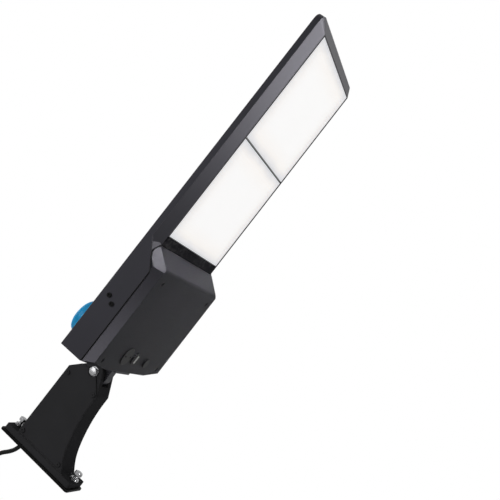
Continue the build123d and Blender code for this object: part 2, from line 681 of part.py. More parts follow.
def tilt_hub():
    half = HUB_WIDTH / 2 - TOOTH_HEIGHT
    disc = rod((PIVOT_X, -half, PIVOT_Z), (0, 1, 0), HUB_R, 2 * half)
    neck_points = [
        (PIVOT_X, PIVOT_Z + HUB_NECK_OFFSET), (HUB_FACE, PIVOT_Z), (HUB_FACE, PIVOT_Z - HUB_R + TOOTH_HEIGHT),
        (PIVOT_X + HUB_NECK_OFFSET, PIVOT_Z - HUB_R + TOOTH_HEIGHT), (PIVOT_X, PIVOT_Z - HUB_R / 2),
    ]
    neck = side_prism(neck_points, (-half, half))
    side = HUB_FLANGE_WIDTH / 2
    heights = (PIVOT_Z - HUB_FLANGE_DOWN, PIVOT_Z + HUB_FLANGE_UP)
    flange = block((HUB_FACE, HEAD_REAR), (-side, side), heights)
    pivot = rod((PIVOT_X, -HUB_WIDTH, PIVOT_Z), (0, 1, 0), PIVOT_BOLT_D / 2 + FIT, 2 * HUB_WIDTH)
    wire = rod((HUB_FACE, 0, WIRE_HOLE_Z), (1, 0, 0), WIRE_HOLE_D / 2 + FIT, HUB_FLANGE_THICK)
    radius = SCREW_D / 2 + FIT
    holes = [rod((HUB_FACE, y, z), (1, 0, 0), radius, HUB_FLANGE_THICK) for y, z in hub_screw_spots()]
    near_teeth = face_teeth(-half, -1, TOOTH_INNER_R, HUB_R)
    far_teeth = face_teeth(half, 1, TOOTH_INNER_R, HUB_R)
    return disc + neck + flange + near_teeth + far_teeth - [pivot, wire, *holes]


def hub_screws():
    return [screw((HUB_FACE, y, z), (1, 0, 0), HUB_SCREW_LENGTH) for y, z in hub_screw_spots()]


# Head casting and cover


def plan_outline(inset, radius, z):
    """Head seen from above, with round front corners, drawn in on three sides."""
    face = Rectangle(HEAD_LENGTH - inset, HEAD_WIDTH - 2 * inset, align=(Align.MIN, Align.CENTER))
    return Pos(HEAD_REAR, 0, z) * fillet(face.vertices().group_by(Axis.X)[-1], radius)


def box_planes():
    """Sloping faces of the driver box: sides, nose, and the cut corners at front and rear."""
    low = HEAD_HALF - COVER_CHAMFER
    planes = [Plane((BOX_FRONT, 0, COVER_BOTTOM), z_dir=(LENS_PLANE - COVER_BOTTOM, 0, -COVER_NOSE_RUN))]
    for side in (-1, 1):
        corner = (SEAM_BEND, side * HEAD_HALF, SEAM)
        edge = (SEAM_BEND, side * low, COVER_BOTTOM)
        planes.append(plane_through(corner, edge, (HEAD_REAR, side * low, COVER_BOTTOM), (0, side, -1)))
        first = (BOX_FRONT - FRONT_FACET_RUN, side * low, COVER_BOTTOM)
        second = (BOX_FRONT, side * (low - FRONT_FACET_WIDTH), COVER_BOTTOM)
        upper = (SEAM_BEND + FRONT_FACET_AHEAD, side * HEAD_HALF, SEAM)
        planes.append(plane_through(first, second, upper, (1, side, -1)))
        first = (HEAD_REAR + REAR_FACET_RUN, side * low, COVER_BOTTOM)
        second = (HEAD_REAR, side * (low - REAR_FACET_WIDTH), COVER_BOTTOM)
        planes.append(plane_through(first, second, (HEAD_REAR, side * HEAD_HALF, SEAM), (-1, side, -1)))
    return planes


def driver_box(inset, top):
    """Whole driver box below the given height, with every face moved in by inset."""
    side = HEAD_HALF - inset
    body = block((HEAD_REAR + inset, HEAD_FRONT), (-side, side), (COVER_BOTTOM + inset, top))
    for plane in box_planes():
        body = split(body, bisect_by=plane.offset(-inset), keep=Keep.BOTTOM)
    return body


def rounded_box(top):
    """Driver box's outside below the given height, with a soft edge between nose and bottom."""
    body = driver_box(0, top)
    return fillet(body.edges().filter_by(Axis.Y).group_by(Axis.Z)[0].sort_by(Axis.X)[-1], COVER_NOSE_ROUND)


def seam_line(drop):
    """Seam seen from the side: level along the box, then up to the lens plane."""
    return [
        (HEAD_REAR - REACH, SEAM - drop), (SEAM_BEND, SEAM - drop),
        (SEAM_SLANT_END, LENS_PLANE - drop), (COVER_NOSE + REACH, LENS_PLANE - drop),
    ]


def wall_lips():
    """Front ends of the side walls: thin, sloping up along the seam and standing in front of the facets."""
    run = SEAM_SLANT_RUN * (WALL_FOOT - SEAM) / (LENS_PLANE - SEAM)
    slope = [(SEAM_BEND, SEAM), (SEAM_BEND + run, WALL_FOOT), (SEAM_BEND, WALL_FOOT)]
    inner = HEAD_HALF - HOUSING_WALL
    return [side_prism(slope, pair) for pair in ((-HEAD_HALF, -inner), (inner, HEAD_HALF))]


def cover_screw_spots():
    """Places of the cover screws, in X and Y."""
    rear = (HEAD_REAR + COVER_SCREW_REAR, HEAD_HALF - COVER_SCREW_REAR_SIDE)
    front = (BOX_FRONT - COVER_SCREW_FRONT, HEAD_HALF - COVER_SCREW_FRONT_SIDE)
    return [(x, side * y) for x, y in (rear, front) for side in (-1, 1)]


def tray_screw_spots():
    """Places of the side wall screws, in X and Z."""
    return [(HEAD_REAR + x, SEAM + z) for x, z in TRAY_SCREW_SPOTS]


def panel_ranges():
    """Rear and front light compartments along X, either side of the divider."""
    half = LENS_GAP / 2
    return [(RECESS_REAR, RECESS_MIDDLE - half), (RECESS_MIDDLE + half, RECESS_FRONT)]


def board_screw_spots(compartment):
    """Places of the four screws of one light board, between its chips and under a fin gap."""
    low, high = compartment
    pitch = (high - low) / CHIP_COLUMNS
    middle = (low + high) / 2
    across = BOARD_SCREW_GAP_COUNT * FIN_PITCH
    return [(middle + step * 2 * pitch, side * across) for step in (-1, 1) for side in (-1, 1)]


def fin_gaps():
    """Open troughs between the fins, and a shallow step that sets the fins below the rim."""
    half = HEAD_HALF - FIN_RIM
    fins = [(index - (FIN_COUNT - 1) / 2) * FIN_PITCH for index in range(FIN_COUNT)]
    edges = [-half] + [fin + side * FIN_THICK / 2 for fin in fins for side in (-1, 1)] + [half]
    field = (FIN_REAR, FIN_FRONT)
    pairs = zip(edges[0::2], edges[1::2])
    troughs = [block(field, pair, (FIN_FLOOR, HEAD_TOP + REACH)) for pair in pairs]
    return [*troughs, block(field, (-half, half), (HEAD_TOP - FIN_DROP, HEAD_TOP + REACH))]


def fin_bosses():
    """Round bosses in the fin gaps over the board screws."""
    spots = [spot for compartment in panel_ranges() for spot in board_screw_spots(compartment)]
    return [rod((x, y, FIN_FLOOR), (0, 0, 1), FIN_BOSS_D / 2, FIN_BOSS_HEIGHT) for x, y in spots]


def housing_holes():
    """Holes in the head casting for screws, wires and the photocontrol socket."""
    holes = [rod((CELL_X, 0, CAVITY_TOP - REACH), (0, 0, 1), SOCKET_BODY_R + FIT, BOSS_TOP)]
    for side in (-1, 1):
        duct = (CAVITY_FRONT - REACH, side * DUCT_Y, DUCT_Z)
        holes.append(rod(duct, (1, 0, 0), DUCT_D / 2, RECESS_REAR + REACH - duct[0]))
        spot = (CELL_X, side * SOCKET_SCREW_R, BOSS_TOP)
        holes.append(rod(spot, (0, 0, -1), SCREW_D / 2 + FIT, SOCKET_SCREW_LENGTH))
        for x, z in tray_screw_spots():
            holes.append(rod((x, side * HEAD_HALF, z), (0, -side, 0), SCREW_D / 2 + FIT, HOUSING_WALL))
    for x, y in cover_screw_spots():
        holes.append(rod((x, y, SEAM), (0, 0, 1), SCREW_D / 2 + FIT, COVER_SCREW_LENGTH))
    for y, z in hub_screw_spots():
        holes.append(rod((HEAD_REAR, y, z), (1, 0, 0), SCREW_D / 2 + FIT, HUB_SCREW_LENGTH))
    holes.append(rod((HEAD_REAR, 0, WIRE_HOLE_Z), (1, 0, 0), WIRE_HOLE_D / 2 + FIT, PAD_INSIDE - HEAD_REAR))
    for compartment in panel_ranges():
        for x, y in board_screw_spots(compartment):
            holes.append(rod((x, y, BOARD_SEAT), (0, 0, 1), BOARD_SCREW_D / 2 + FIT, BOARD_SCREW_LENGTH))
    return holes


def housing():
    upper = extrude(plan_outline(0, CORNER_R, WALL_FOOT), EDGE_WALL)
    upper = fillet(upper.faces().sort_by(Axis.Z)[-1].edges(), EDGE_ROUND)
    lens_frame = plan_outline(EDGE_CHAMFER_IN, LENS_CORNER_R, LENS_PLANE)
    lower = loft([lens_frame, plan_outline(0, CORNER_R, WALL_FOOT)], ruled=True)
    above_seam = [*seam_line(0), (COVER_NOSE + REACH, HEAD_TOP), (HEAD_REAR - REACH, HEAD_TOP)]
    walls = rounded_box(WALL_FOOT) & side_prism(above_seam, (-HEAD_WIDTH, HEAD_WIDTH))
    hollow = driver_box(HOUSING_WALL, CAVITY_TOP)
    hollow &= block((HEAD_REAR, CAVITY_FRONT), (-HEAD_HALF, HEAD_HALF), (COVER_BOTTOM, CAVITY_TOP))
    recess = block((RECESS_REAR, RECESS_FRONT), (-RECESS_HALF, RECESS_HALF), (LENS_PLANE - REACH, BOARD_SEAT))
    boss = rod((CELL_X, 0, HEAD_TOP - TOP_WALL), (0, 0, 1), BOSS_R, TOP_WALL + BOSS_HEIGHT)
    side = HUB_FLANGE_WIDTH / 2
    pad_heights = (SEAM + HOUSING_WALL, PIVOT_Z + HUB_FLANGE_UP)
    pad = block((HEAD_REAR + HOUSING_WALL, PAD_INSIDE), (-side, side), pad_heights)
    post_height = CAVITY_TOP - SEAM
    posts = [rod((x, y, SEAM), (0, 0, 1), COVER_BOSS_D / 2, post_height) for x, y in cover_screw_spots()]
    body = upper + lower + walls + wall_lips() - [hollow, recess, *fin_gaps()]
    return body + [boss, pad, *posts, *fin_bosses()] - housing_holes()


def driver_cover():
    below_seam = [
        *seam_line(SEAM_GASKET_THICK),
        (COVER_NOSE + REACH, COVER_BOTTOM - REACH), (HEAD_REAR - REACH, COVER_BOTTOM - REACH),
    ]
    shell = rounded_box(LENS_PLANE) & side_prism(below_seam, (-HEAD_WIDTH, HEAD_WIDTH))
    shell -= driver_box(COVER_WALL, LENS_PLANE)
    height = COVER_RIM - COVER_BOTTOM
    posts = [rod((x, y, COVER_BOTTOM), (0, 0, 1), COVER_POST_D / 2, height) for x, y in cover_screw_spots()]
    holes = []
    for x, y in cover_screw_spots():
        holes.append(rod((x, y, COVER_BOTTOM), (0, 0, 1), SCREW_D / 2 + FIT, height))
        holes.append(rod((x, y, COVER_BOTTOM), (0, 0, 1), SCREW_HEAD_D / 2 + RUNNING_GAP, COVER_SCREW_SINK))
    for spot, diameter in ((PORT_SPOT, PORT_SPIGOT_D), (KNOB_SPOT, KNOB_SHAFT_D), (VENT_SPOT, VENT_SPIGOT_D)):
        start = (HEAD_REAR + spot[0], spot[1], COVER_BOTTOM)
        holes.append(rod(start, (0, 0, 1), diameter / 2 + FIT, COVER_WALL))
    return shell + posts - holes


def cover_gasket():
    band = side_prism(seam_line(0) + seam_line(SEAM_GASKET_THICK)[::-1], (-HEAD_WIDTH, HEAD_WIDTH))
    outer = driver_box(SEAM_GASKET_INSET, LENS_PLANE)
    inner = driver_box(SEAM_GASKET_INSET + SEAM_GASKET_WIDTH, LENS_PLANE + REACH)
    return (outer - inner) & band


def cover_screws():
    seat = COVER_BOTTOM + COVER_SCREW_SINK
    return [screw((x, y, seat), (0, 0, 1), COVER_SCREW_LENGTH) for x, y in cover_screw_spots()]


# Lens panels and light boards


def lens_panel(compartment):
    low, high = compartment
    side = RECESS_HALF - LENS_GAP
    room = LENS_GAP / 2
    heights = (LENS_PLANE + LENS_SINK, LENS_BACK)
    panel = block((low + room, high - room), (-side, side), heights)
    return fillet(panel.edges().filter_by(Axis.Z), LENS_CORNER_R)


def lens_gasket(compartment):
    low, high = compartment
    side = RECESS_HALF - RUNNING_GAP
    room = RUNNING_GAP / 2
    inner = LENS_GASKET_WIDTH + room
    heights = (LENS_BACK, BOARD_SEAT)
    frame = block((low + room, high - room), (-side, side), heights)
    frame -= block((low + inner, high - inner), (inner - side, side - inner), heights)
    spots = [(RECESS_REAR - REACH, y, DUCT_Z) for y in (-DUCT_Y, DUCT_Y)]
    return frame - [rod(spot, (1, 0, 0), DUCT_D / 2, 3 * REACH) for spot in spots]


def board_range(compartment):
    """Light board limits along X and Y, inside its gasket."""
    low, high = compartment
    margin = LENS_GASKET_WIDTH + 2 * RUNNING_GAP
    side = RECESS_HALF - margin
    return (low + margin, high - margin), (-side, side)


def led_board(compartment):
    x_range, y_range = board_range(compartment)
    board = block(x_range, y_range, (BOARD_SEAT - BOARD_THICK, BOARD_SEAT))
    radius = BOARD_SCREW_D / 2 + FIT
    spots = board_screw_spots(compartment)
    return board - [rod((x, y, BOARD_SEAT), (0, 0, -1), radius, BOARD_THICK) for x, y in spots]


def led_chips(compartment):
    x_range, y_range = board_range(compartment)
    pitch_x = (compartment[1] - compartment[0]) / CHIP_COLUMNS
    pitch_y = (y_range[1] - y_range[0]) / CHIP_ROWS
    top = BOARD_SEAT - BOARD_THICK
    half = CHIP_SIZE / 2
    chips = []
    for column in range(CHIP_COLUMNS):
        x = compartment[0] + (column + 0.5) * pitch_x
        for row in range(CHIP_ROWS):
            y = y_range[0] + (row + 0.5) * pitch_y
            chips.append(block((x - half, x + half), (y - half, y + half), (top - CHIP_THICK, top)))
    return chips


def board_screws():
    seat = BOARD_SEAT - BOARD_THICK
    spots = [spot for compartment in panel_ranges() for spot in board_screw_spots(compartment)]
    sizes = (BOARD_SCREW_LENGTH, BOARD_SCREW_D, BOARD_SCREW_HEAD_D, BOARD_SCREW_HEAD_THICK)
    return [screw((x, y, seat), (0, 0, 1), *sizes) for x, y in spots]


# Driver and wiring


def driver_tray():
    side = HEAD_HALF - HOUSING_WALL
    floor = block((DRIVER_REAR, DRIVER_FRONT), (-side, side), (TRAY_FLOOR, DRIVER_FLOOR))
    middle = sum(x for x, z in tray_screw_spots()) / len(TRAY_SCREW_SPOTS)
    ear = (middle - TRAY_FLANGE_WIDTH / 2, middle + TRAY_FLANGE_WIDTH / 2)
    heights = (TRAY_FLOOR, TRAY_FLOOR + TRAY_FLANGE_HEIGHT)
    ears = [block(ear, sorted((y * side, y * (side - TRAY_THICK))), heights) for y in (-1, 1)]
    radius = SCREW_D / 2 + FIT
    holes = [rod((x, -HEAD_WIDTH, z), (0, 1, 0), radius, 2 * HEAD_WIDTH) for x, z in tray_screw_spots()]
    holes += [rod((x, y, TRAY_FLOOR), (0, 0, 1), radius, TRAY_THICK) for x, y in driver_screw_spots()]
    return floor + ears - holes


def driver_screw_spots():
    """Places of the two driver screws, in X and Y."""
    x = (DRIVER_REAR + DRIVER_FRONT) / 2
    y = DRIVER_LENGTH / 2 - DRIVER_SCREW_INSET
    return [(x, -y), (x, y)]


def led_driver():
    half = DRIVER_LENGTH / 2
    heights = (DRIVER_FLOOR, DRIVER_FLOOR + DRIVER_HEIGHT)
    case = block((DRIVER_REAR, DRIVER_FRONT), (-half, half), heights)
    case = fillet(case.edges().filter_by(Axis.Y), EDGE_ROUND)
    spots = [(x, y, DRIVER_FLOOR) for x, y in driver_screw_spots()]
    return case - [rod(spot, (0, 0, 1), SCREW_D / 2 + FIT, DRIVER_SCREW_LENGTH) for spot in spots]


def driver_screws():
    return [screw((x, y, TRAY_FLOOR), (0, 0, 1), DRIVER_SCREW_LENGTH) for x, y in driver_screw_spots()]


def tray_screws():
    screws = []
    for side in (-1, 1):
        for x, z in tray_screw_spots():
            screws.append(screw((x, side * HEAD_HALF, z), (0, -side, 0), TRAY_SCREW_LENGTH))
    return screws


def hung_block(x, y, size):
    """Plain block fixed under the box's top wall, with its middle at x and y."""
    x_range = (x - size[0] / 2, x + size[0] / 2)
    y_range = (y - size[1] / 2, y + size[1] / 2)
    body = block(x_range, y_range, (CAVITY_TOP - size[2], CAVITY_TOP))
    return fillet(body.edges().filter_by(Axis.Z), EDGE_ROUND)


def mains_leads():
    start = TERMINAL_X + TERMINAL_SIZE[0] / 2
    z = CAVITY_TOP - TERMINAL_SIZE[2] / 2
    pitch = TERMINAL_SIZE[1] / 4
    spots = [(start, TERMINAL_Y + index * pitch, z) for index in (-1, 0, 1)]
    return [rod(spot, (1, 0, 0), WIRE_D / 2, DRIVER_REAR - start) for spot in spots]


def led_leads():
    length = RECESS_REAR - DRIVER_FRONT
    return [rod((DRIVER_FRONT, side * DUCT_Y, DUCT_Z), (1, 0, 0), WIRE_D / 2, length) for side in (-1, 1)]


def supply_lead():
    return tube_along([(HEAD_REAR + x, y, WIRE_HOLE_Z + z) for x, y, z in SUPPLY_BENDS], SUPPLY_D)


# Fittings under the cover


def port_cap():
    x, y = HEAD_REAR + PORT_SPOT[0], PORT_SPOT[1]
    cap = rod((x, y, COVER_BOTTOM), (0, 0, -1), PORT_CAP_D / 2, PORT_CAP_THICK)
    cap = chamfer(cap.edges().sort_by(Axis.Z)[0], PORT_CAP_EDGE)
    spigot = rod((x, y, COVER_BOTTOM), (0, 0, 1), PORT_SPIGOT_D / 2, SPIGOT_LENGTH)
    outer = COVER_BOTTOM - PORT_CAP_THICK
    spots = [(x, y + side * PORT_PIN_PITCH / 2, outer) for side in (-1, 1)]
    return cap + spigot - [rod(spot, (0, 0, 1), PORT_PIN_D / 2, PORT_PIN_DEPTH) for spot in spots]


def selector_pointer():
    x, y = HEAD_REAR + KNOB_SPOT[0], KNOB_SPOT[1]
    half_length, half_width = POINTER_LENGTH / 2, POINTER_WIDTH / 2
    face = COVER_BOTTOM - RUNNING_GAP - KNOB_THICK
    heights = (face - POINTER_PROUD, face + POINTER_DEPTH)
    return block((x - half_length, x + half_length), (y - half_width, y + half_width), heights)


def selector_knob():
    x, y = HEAD_REAR + KNOB_SPOT[0], KNOB_SPOT[1]
    top = COVER_BOTTOM - RUNNING_GAP
    disc = rod((x, y, top), (0, 0, -1), KNOB_D / 2, KNOB_THICK)
    disc = chamfer(disc.edges().sort_by(Axis.Z)[0], KNOB_EDGE)
    shaft_end = COVER_FLOOR + SWITCH_BORE_DEPTH - 2 * RUNNING_GAP
    shaft = rod((x, y, top), (0, 0, 1), KNOB_SHAFT_D / 2, shaft_end - top)
    return disc + shaft - selector_pointer()


def selector_switch():
    x, y = HEAD_REAR + KNOB_SPOT[0], KNOB_SPOT[1]
    half = SWITCH_SIZE / 2
    body = block((x - half, x + half), (y - half, y + half), (COVER_FLOOR, COVER_FLOOR + SWITCH_HEIGHT))
    return body - rod((x, y, COVER_FLOOR), (0, 0, 1), KNOB_SHAFT_D / 2 + FIT, SWITCH_BORE_DEPTH)


def breather_vent():
    x, y = HEAD_REAR + VENT_SPOT[0], VENT_SPOT[1]
    cap = rod((x, y, COVER_BOTTOM), (0, 0, -1), VENT_D / 2, VENT_THICK)
    cap = chamfer(cap.edges().sort_by(Axis.Z)[0], VENT_EDGE)
    spigot = rod((x, y, COVER_BOTTOM), (0, 0, 1), VENT_SPIGOT_D / 2, SPIGOT_LENGTH)
    ports = []
    for index in range(VENT_HOLE_COUNT):
        angle = 2 * math.pi * index / VENT_HOLE_COUNT
        axis = (math.cos(angle), math.sin(angle), 0)
        ports.append(rod((x, y, COVER_BOTTOM - VENT_THICK / 2), axis, VENT_HOLE_D / 2, VENT_D))
    core = rod((x, y, COVER_BOTTOM - VENT_THICK), (0, 0, 1), VENT_SPIGOT_D / 2 - VENT_EDGE, VENT_THICK)
    return cap - ports + [core, spigot]


# Photocontrol


def blade_angles():
    """Middle angle of each contact blade, in degrees."""
    return [index * 360 / BLADE_COUNT for index in range(BLADE_COUNT)]


def photocell_socket():
    flange = rod((CELL_X, 0, SOCKET_SEAT), (0, 0, 1), SOCKET_R, SOCKET_HEIGHT)
    body = rod((CELL_X, 0, SOCKET_SEAT), (0, 0, -1), SOCKET_BODY_R, SOCKET_BODY_DEPTH)
    floor = SOCKET_TOP - BLADE_LENGTH - RUNNING_GAP
    slots = []
    for angle in blade_angles():
        low = angle - BLADE_SPAN / 2 - 2 * SLOT_ROOM
        high = angle + BLADE_SPAN / 2 + TWIST + 2 * SLOT_ROOM
        inner, outer = BLADE_INNER_R - SLOT_ROOM, BLADE_OUTER_R + SLOT_ROOM
        slots.append(sector((CELL_X, 0, floor), inner, outer, low, high, BLADE_LENGTH + REACH))
    for side in (-1, 1):
        spot = (CELL_X, side * SOCKET_SCREW_R, SOCKET_SEAT)
        slots.append(rod(spot, (0, 0, 1), SCREW_D / 2 + FIT, SOCKET_HEIGHT))
        top = (CELL_X, side * SOCKET_SCREW_R, SOCKET_TOP)
        slots.append(rod(top, (0, 0, -1), SCREW_HEAD_D / 2 + RUNNING_GAP, COVER_SCREW_SINK))
    return flange + body - slots


def socket_gasket():
    body = ring((CELL_X, 0, BOSS_TOP), (0, 0, 1), BOSS_R, SOCKET_BODY_R + FIT, SOCKET_GASKET_THICK)
    radius = SCREW_D / 2 + FIT
    spots = [(CELL_X, side * SOCKET_SCREW_R, BOSS_TOP) for side in (-1, 1)]
    return body - [rod(spot, (0, 0, 1), radius, SOCKET_GASKET_THICK) for spot in spots]


def socket_screws():
    seat = SOCKET_TOP - COVER_SCREW_SINK
    return [screw((CELL_X, side * SOCKET_SCREW_R, seat), (0, 0, -1), SOCKET_SCREW_LENGTH) for side in (-1, 1)]


def cell_profile(inset):
    """Half outline of the photocontrol's cup: rim, tapered wall and rounded shoulder."""
    rim_top = CELL_FOOT + CELL_RIM_HEIGHT - inset
    top = CELL_FOOT + CELL_HEIGHT - inset
    shoulder = CELL_SHOULDER_R - inset
    top_r = CELL_TOP_R - inset
    low = CELL_FOOT if inset == 0 else CELL_FOOT - REACH
    bend = math.sqrt(0.5) * shoulder
    mid = (top_r - shoulder + bend, top - shoulder + bend)
    return [
        Line((0, low), (CELL_RIM_R - inset, low)),
        Line((CELL_RIM_R - inset, low), (CELL_RIM_R - inset, rim_top)),
        Line((CELL_RIM_R - inset, rim_top), (CELL_FOOT_R - inset, rim_top)),
        Line((CELL_FOOT_R - inset, rim_top), (top_r, top - shoulder)),
        ThreePointArc((top_r, top - shoulder), mid, (top_r - shoulder, top)),
        Line((top_r - shoulder, top), (0, top)),
        Line((0, top), (0, low)),
    ]


def turned(profile):
    """Solid of revolution about the photocontrol's upright axis."""
    return Pos(CELL_X, 0, 0) * revolve(Plane.XZ * make_face(profile), Axis.Z)


def photocell_cover():
    return turned(cell_profile(0)) - turned(cell_profile(CELL_WALL))


def photocell_base():
    return rod((CELL_X, 0, CELL_FOOT), (0, 0, 1), CELL_RIM_R - CELL_WALL - FIT, CELL_BASE_THICK)


def photocell_blades():
    blades = []
    for angle in blade_angles():
        low, high = angle - BLADE_SPAN / 2, angle + BLADE_SPAN / 2
        start = (CELL_X, 0, CELL_FOOT - BLADE_LENGTH)
        blades.append(sector(start, BLADE_INNER_R, BLADE_OUTER_R, low, high, BLADE_LENGTH))
    return blades


def photocell_board():
    half = CELL_BOARD_WIDTH / 2
    low = CELL_FOOT + CELL_BASE_THICK
    return block((CELL_X, CELL_X + CELL_BOARD_THICK), (-half, half), (low, low + CELL_BOARD_HEIGHT))


def photocell_relay():
    low = CELL_FOOT + CELL_BASE_THICK
    x_range = (CELL_X - RELAY_SIZE[0], CELL_X)
    return block(x_range, (-RELAY_SIZE[1] / 2, RELAY_SIZE[1] / 2), (low, low + RELAY_SIZE[2]))


def photocell_sensor():
    z = CELL_FOOT + CELL_BASE_THICK + CELL_BOARD_HEIGHT - SENSOR_D
    return rod((CELL_X + CELL_BOARD_THICK, 0, z), (1, 0, 0), SENSOR_D / 2, SENSOR_LENGTH)


def rating_plate():
    x, y = HEAD_REAR + RATING_SPOT[0], RATING_SPOT[1]
    x_range = (x - RATING_WIDTH / 2, x + RATING_WIDTH / 2)
    y_range = (y - RATING_LENGTH / 2, y + RATING_LENGTH / 2)
    plate = block(x_range, y_range, (HEAD_TOP, HEAD_TOP + RATING_THICK))
    return fillet(plate.edges().filter_by(Axis.Z), EDGE_ROUND)


# Supply lead and grommets


def grommet(seat, z, wall, bore):
    """Rubber bush in a wall whose far face is at seat, with a flange on that face."""
    body = rod((seat, 0, z), (-1, 0, 0), GROMMET_D / 2, wall - GROMMET_SINK)
    flange = rod((seat, 0, z), (1, 0, 0), GROMMET_FLANGE_D / 2, GROMMET_FLANGE_THICK)
    return body + flange - rod((seat - REACH, 0, z), (1, 0, 0), bore / 2 + FIT, 2 * REACH)


def head_grommet():
    start = (HUB_FACE, 0, WIRE_HOLE_Z)
    length = PAD_INSIDE - HUB_FACE
    return rod(start, (1, 0, 0), WIRE_HOLE_D / 2, length) - rod(start, (1, 0, 0), SUPPLY_D / 2 + FIT, length)


def lead_route():
    """Supply lead: straight back out of the plate, over a hump and down to hang."""
    return [(LEAD_START, 0, LEAD_Z)] + [(x, y, LEAD_Z + z) for x, y, z in LEAD_BENDS]


def arm_lead_route():
    """Lead through the arm: level at both grommets, with a little slack between them."""
    run = SLOT_BACK + GROMMET_FLANGE_THICK - LEAD_START
    slack = [(LEAD_START + share * run, y, LEAD_Z - drop) for share, y, drop in ARM_LEAD_SAG]
    return [(LEAD_START, 0, LEAD_Z), *slack, (LEAD_START + run, 0, LEAD_Z)]


def lead_cores():
    before, end = [Vector(*point) for point in lead_route()[-2:]]
    axis = (end - before).normalized()
    face = Plane(end, z_dir=axis)
    spots = PolarLocations(CORE_RING_R, 3)
    core = Cylinder(CORE_D / 2, CORE_LENGTH, align=(Align.CENTER, Align.CENTER, Align.MIN))
    return [face * spot * core for spot in spots]


def parts():
    """Every node's name and its solid, or its list of separate solids."""
    rear, front = panel_ranges()
    return {
        "back_plate": back_plate(),
        "foot_gasket": foot_gasket(),
        "mounting_bolts": mounting_bolts(),
        "flat_washers": flat_washers(),
        "spring_washers": spring_washers(),
        "arm_casting": arm_casting(),
        "arm_cover": arm_cover(),
        "arm_cover_screws": arm_cover_screws(),
        "pivot_bolt": pivot_bolt(),
        "pivot_washers": pivot_washers(),
        "pivot_nut": pivot_nut(),
        "lead_grommet": grommet(PLATE_THICK, LEAD_Z, PLATE_THICK, LEAD_D),
        "arm_grommet": grommet(SLOT_BACK, LEAD_Z, ARM_WALL, LEAD_D),
        "arm_lead": tube_along(arm_lead_route(), LEAD_D),
        "power_lead": tube_along(lead_route(), LEAD_D),
        "lead_cores": lead_cores(),
        "tilt_hub": tilt_hub(),
        "hub_screws": hub_screws(),
        "head_grommet": head_grommet(),
        "housing": housing(),
        "driver_cover": driver_cover(),
        "cover_gasket": cover_gasket(),
        "cover_screws": cover_screws(),
        "lens_rear": lens_panel(rear),
        "lens_front": lens_panel(front),
        "lens_gasket_rear": lens_gasket(rear),
        "lens_gasket_front": lens_gasket(front),
        "led_board_rear": led_board(rear),
        "led_board_front": led_board(front),
        "led_chips_rear": led_chips(rear),
        "led_chips_front": led_chips(front),
        "board_screws": board_screws(),
        "driver_tray": driver_tray(),
        "led_driver": led_driver(),
        "driver_screws": driver_screws(),
        "tray_screws": tray_screws(),
        "surge_protector": hung_block(SURGE_X, 0, SURGE_SIZE),
        "terminal_block": hung_block(TERMINAL_X, TERMINAL_Y, TERMINAL_SIZE),
        "supply_lead": supply_lead(),
        "mains_leads": mains_leads(),
        "led_leads": led_leads(),
        "sensor_port_cap": port_cap(),
        "selector_knob": selector_knob(),
        "selector_pointer": selector_pointer(),
        "selector_switch": selector_switch(),
        "breather_vent": breather_vent(),
        "photocell_socket": photocell_socket(),
        "socket_gasket": socket_gasket(),
        "socket_screws": socket_screws(),
        "photocell_cover": photocell_cover(),
        "photocell_base": photocell_base(),
        "photocell_blades": photocell_blades(),
        "photocell_board": photocell_board(),
        "photocell_relay": photocell_relay(),
        "photocell_sensor": photocell_sensor(),
        "rating_plate": rating_plate(),
    }


os.makedirs("parts", exist_ok=True)
for name, shape in parts().items():
    pieces = shape if isinstance(shape, list) else [shape]
    solids = [solid for piece in pieces for solid in piece.solids()]
    export_step(Compound(solids), f"parts/{name}.step")
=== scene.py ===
import json

import bpy
import numpy as np
from mathutils import Matrix, Vector


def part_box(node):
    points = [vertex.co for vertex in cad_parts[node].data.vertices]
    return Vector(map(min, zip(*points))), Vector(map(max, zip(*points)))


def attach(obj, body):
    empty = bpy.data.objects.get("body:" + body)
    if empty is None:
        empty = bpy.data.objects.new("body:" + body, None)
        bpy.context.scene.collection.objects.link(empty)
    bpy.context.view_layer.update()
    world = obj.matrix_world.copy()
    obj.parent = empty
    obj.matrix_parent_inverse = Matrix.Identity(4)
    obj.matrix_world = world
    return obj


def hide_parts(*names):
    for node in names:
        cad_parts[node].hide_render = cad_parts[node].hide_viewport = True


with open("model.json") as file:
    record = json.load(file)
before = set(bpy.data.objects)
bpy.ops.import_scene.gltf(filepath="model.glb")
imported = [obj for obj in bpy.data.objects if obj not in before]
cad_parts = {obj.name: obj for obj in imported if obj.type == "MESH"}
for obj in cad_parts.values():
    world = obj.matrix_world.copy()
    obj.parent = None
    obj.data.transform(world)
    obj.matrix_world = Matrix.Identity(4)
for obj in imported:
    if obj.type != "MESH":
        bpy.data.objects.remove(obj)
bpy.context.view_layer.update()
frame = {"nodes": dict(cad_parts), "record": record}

# LED parking lot light seen from below: black cast head with frosted lenses on a tilting pole arm.
# Lengths are metres, in the CAD model's own frame: +X out from the pole, +Z up.

NODES = frame["nodes"]

# Camera
CAMERA_PLACE = (0.48666, -1.28710, -0.50702)
CAMERA_RIGHT = (0.61320037, 0.25047455, -0.74916474)
CAMERA_DOWN = (-0.78987763, 0.20507137, -0.57796113)
CAMERA_FORWARD = (0.00886769, 0.94615444, 0.32359408)
PHOTO_WIDTH = 500
FOCAL_PIXELS = 810.992
SENSOR_WIDTH = 36.0
CLIP_START = 0.01

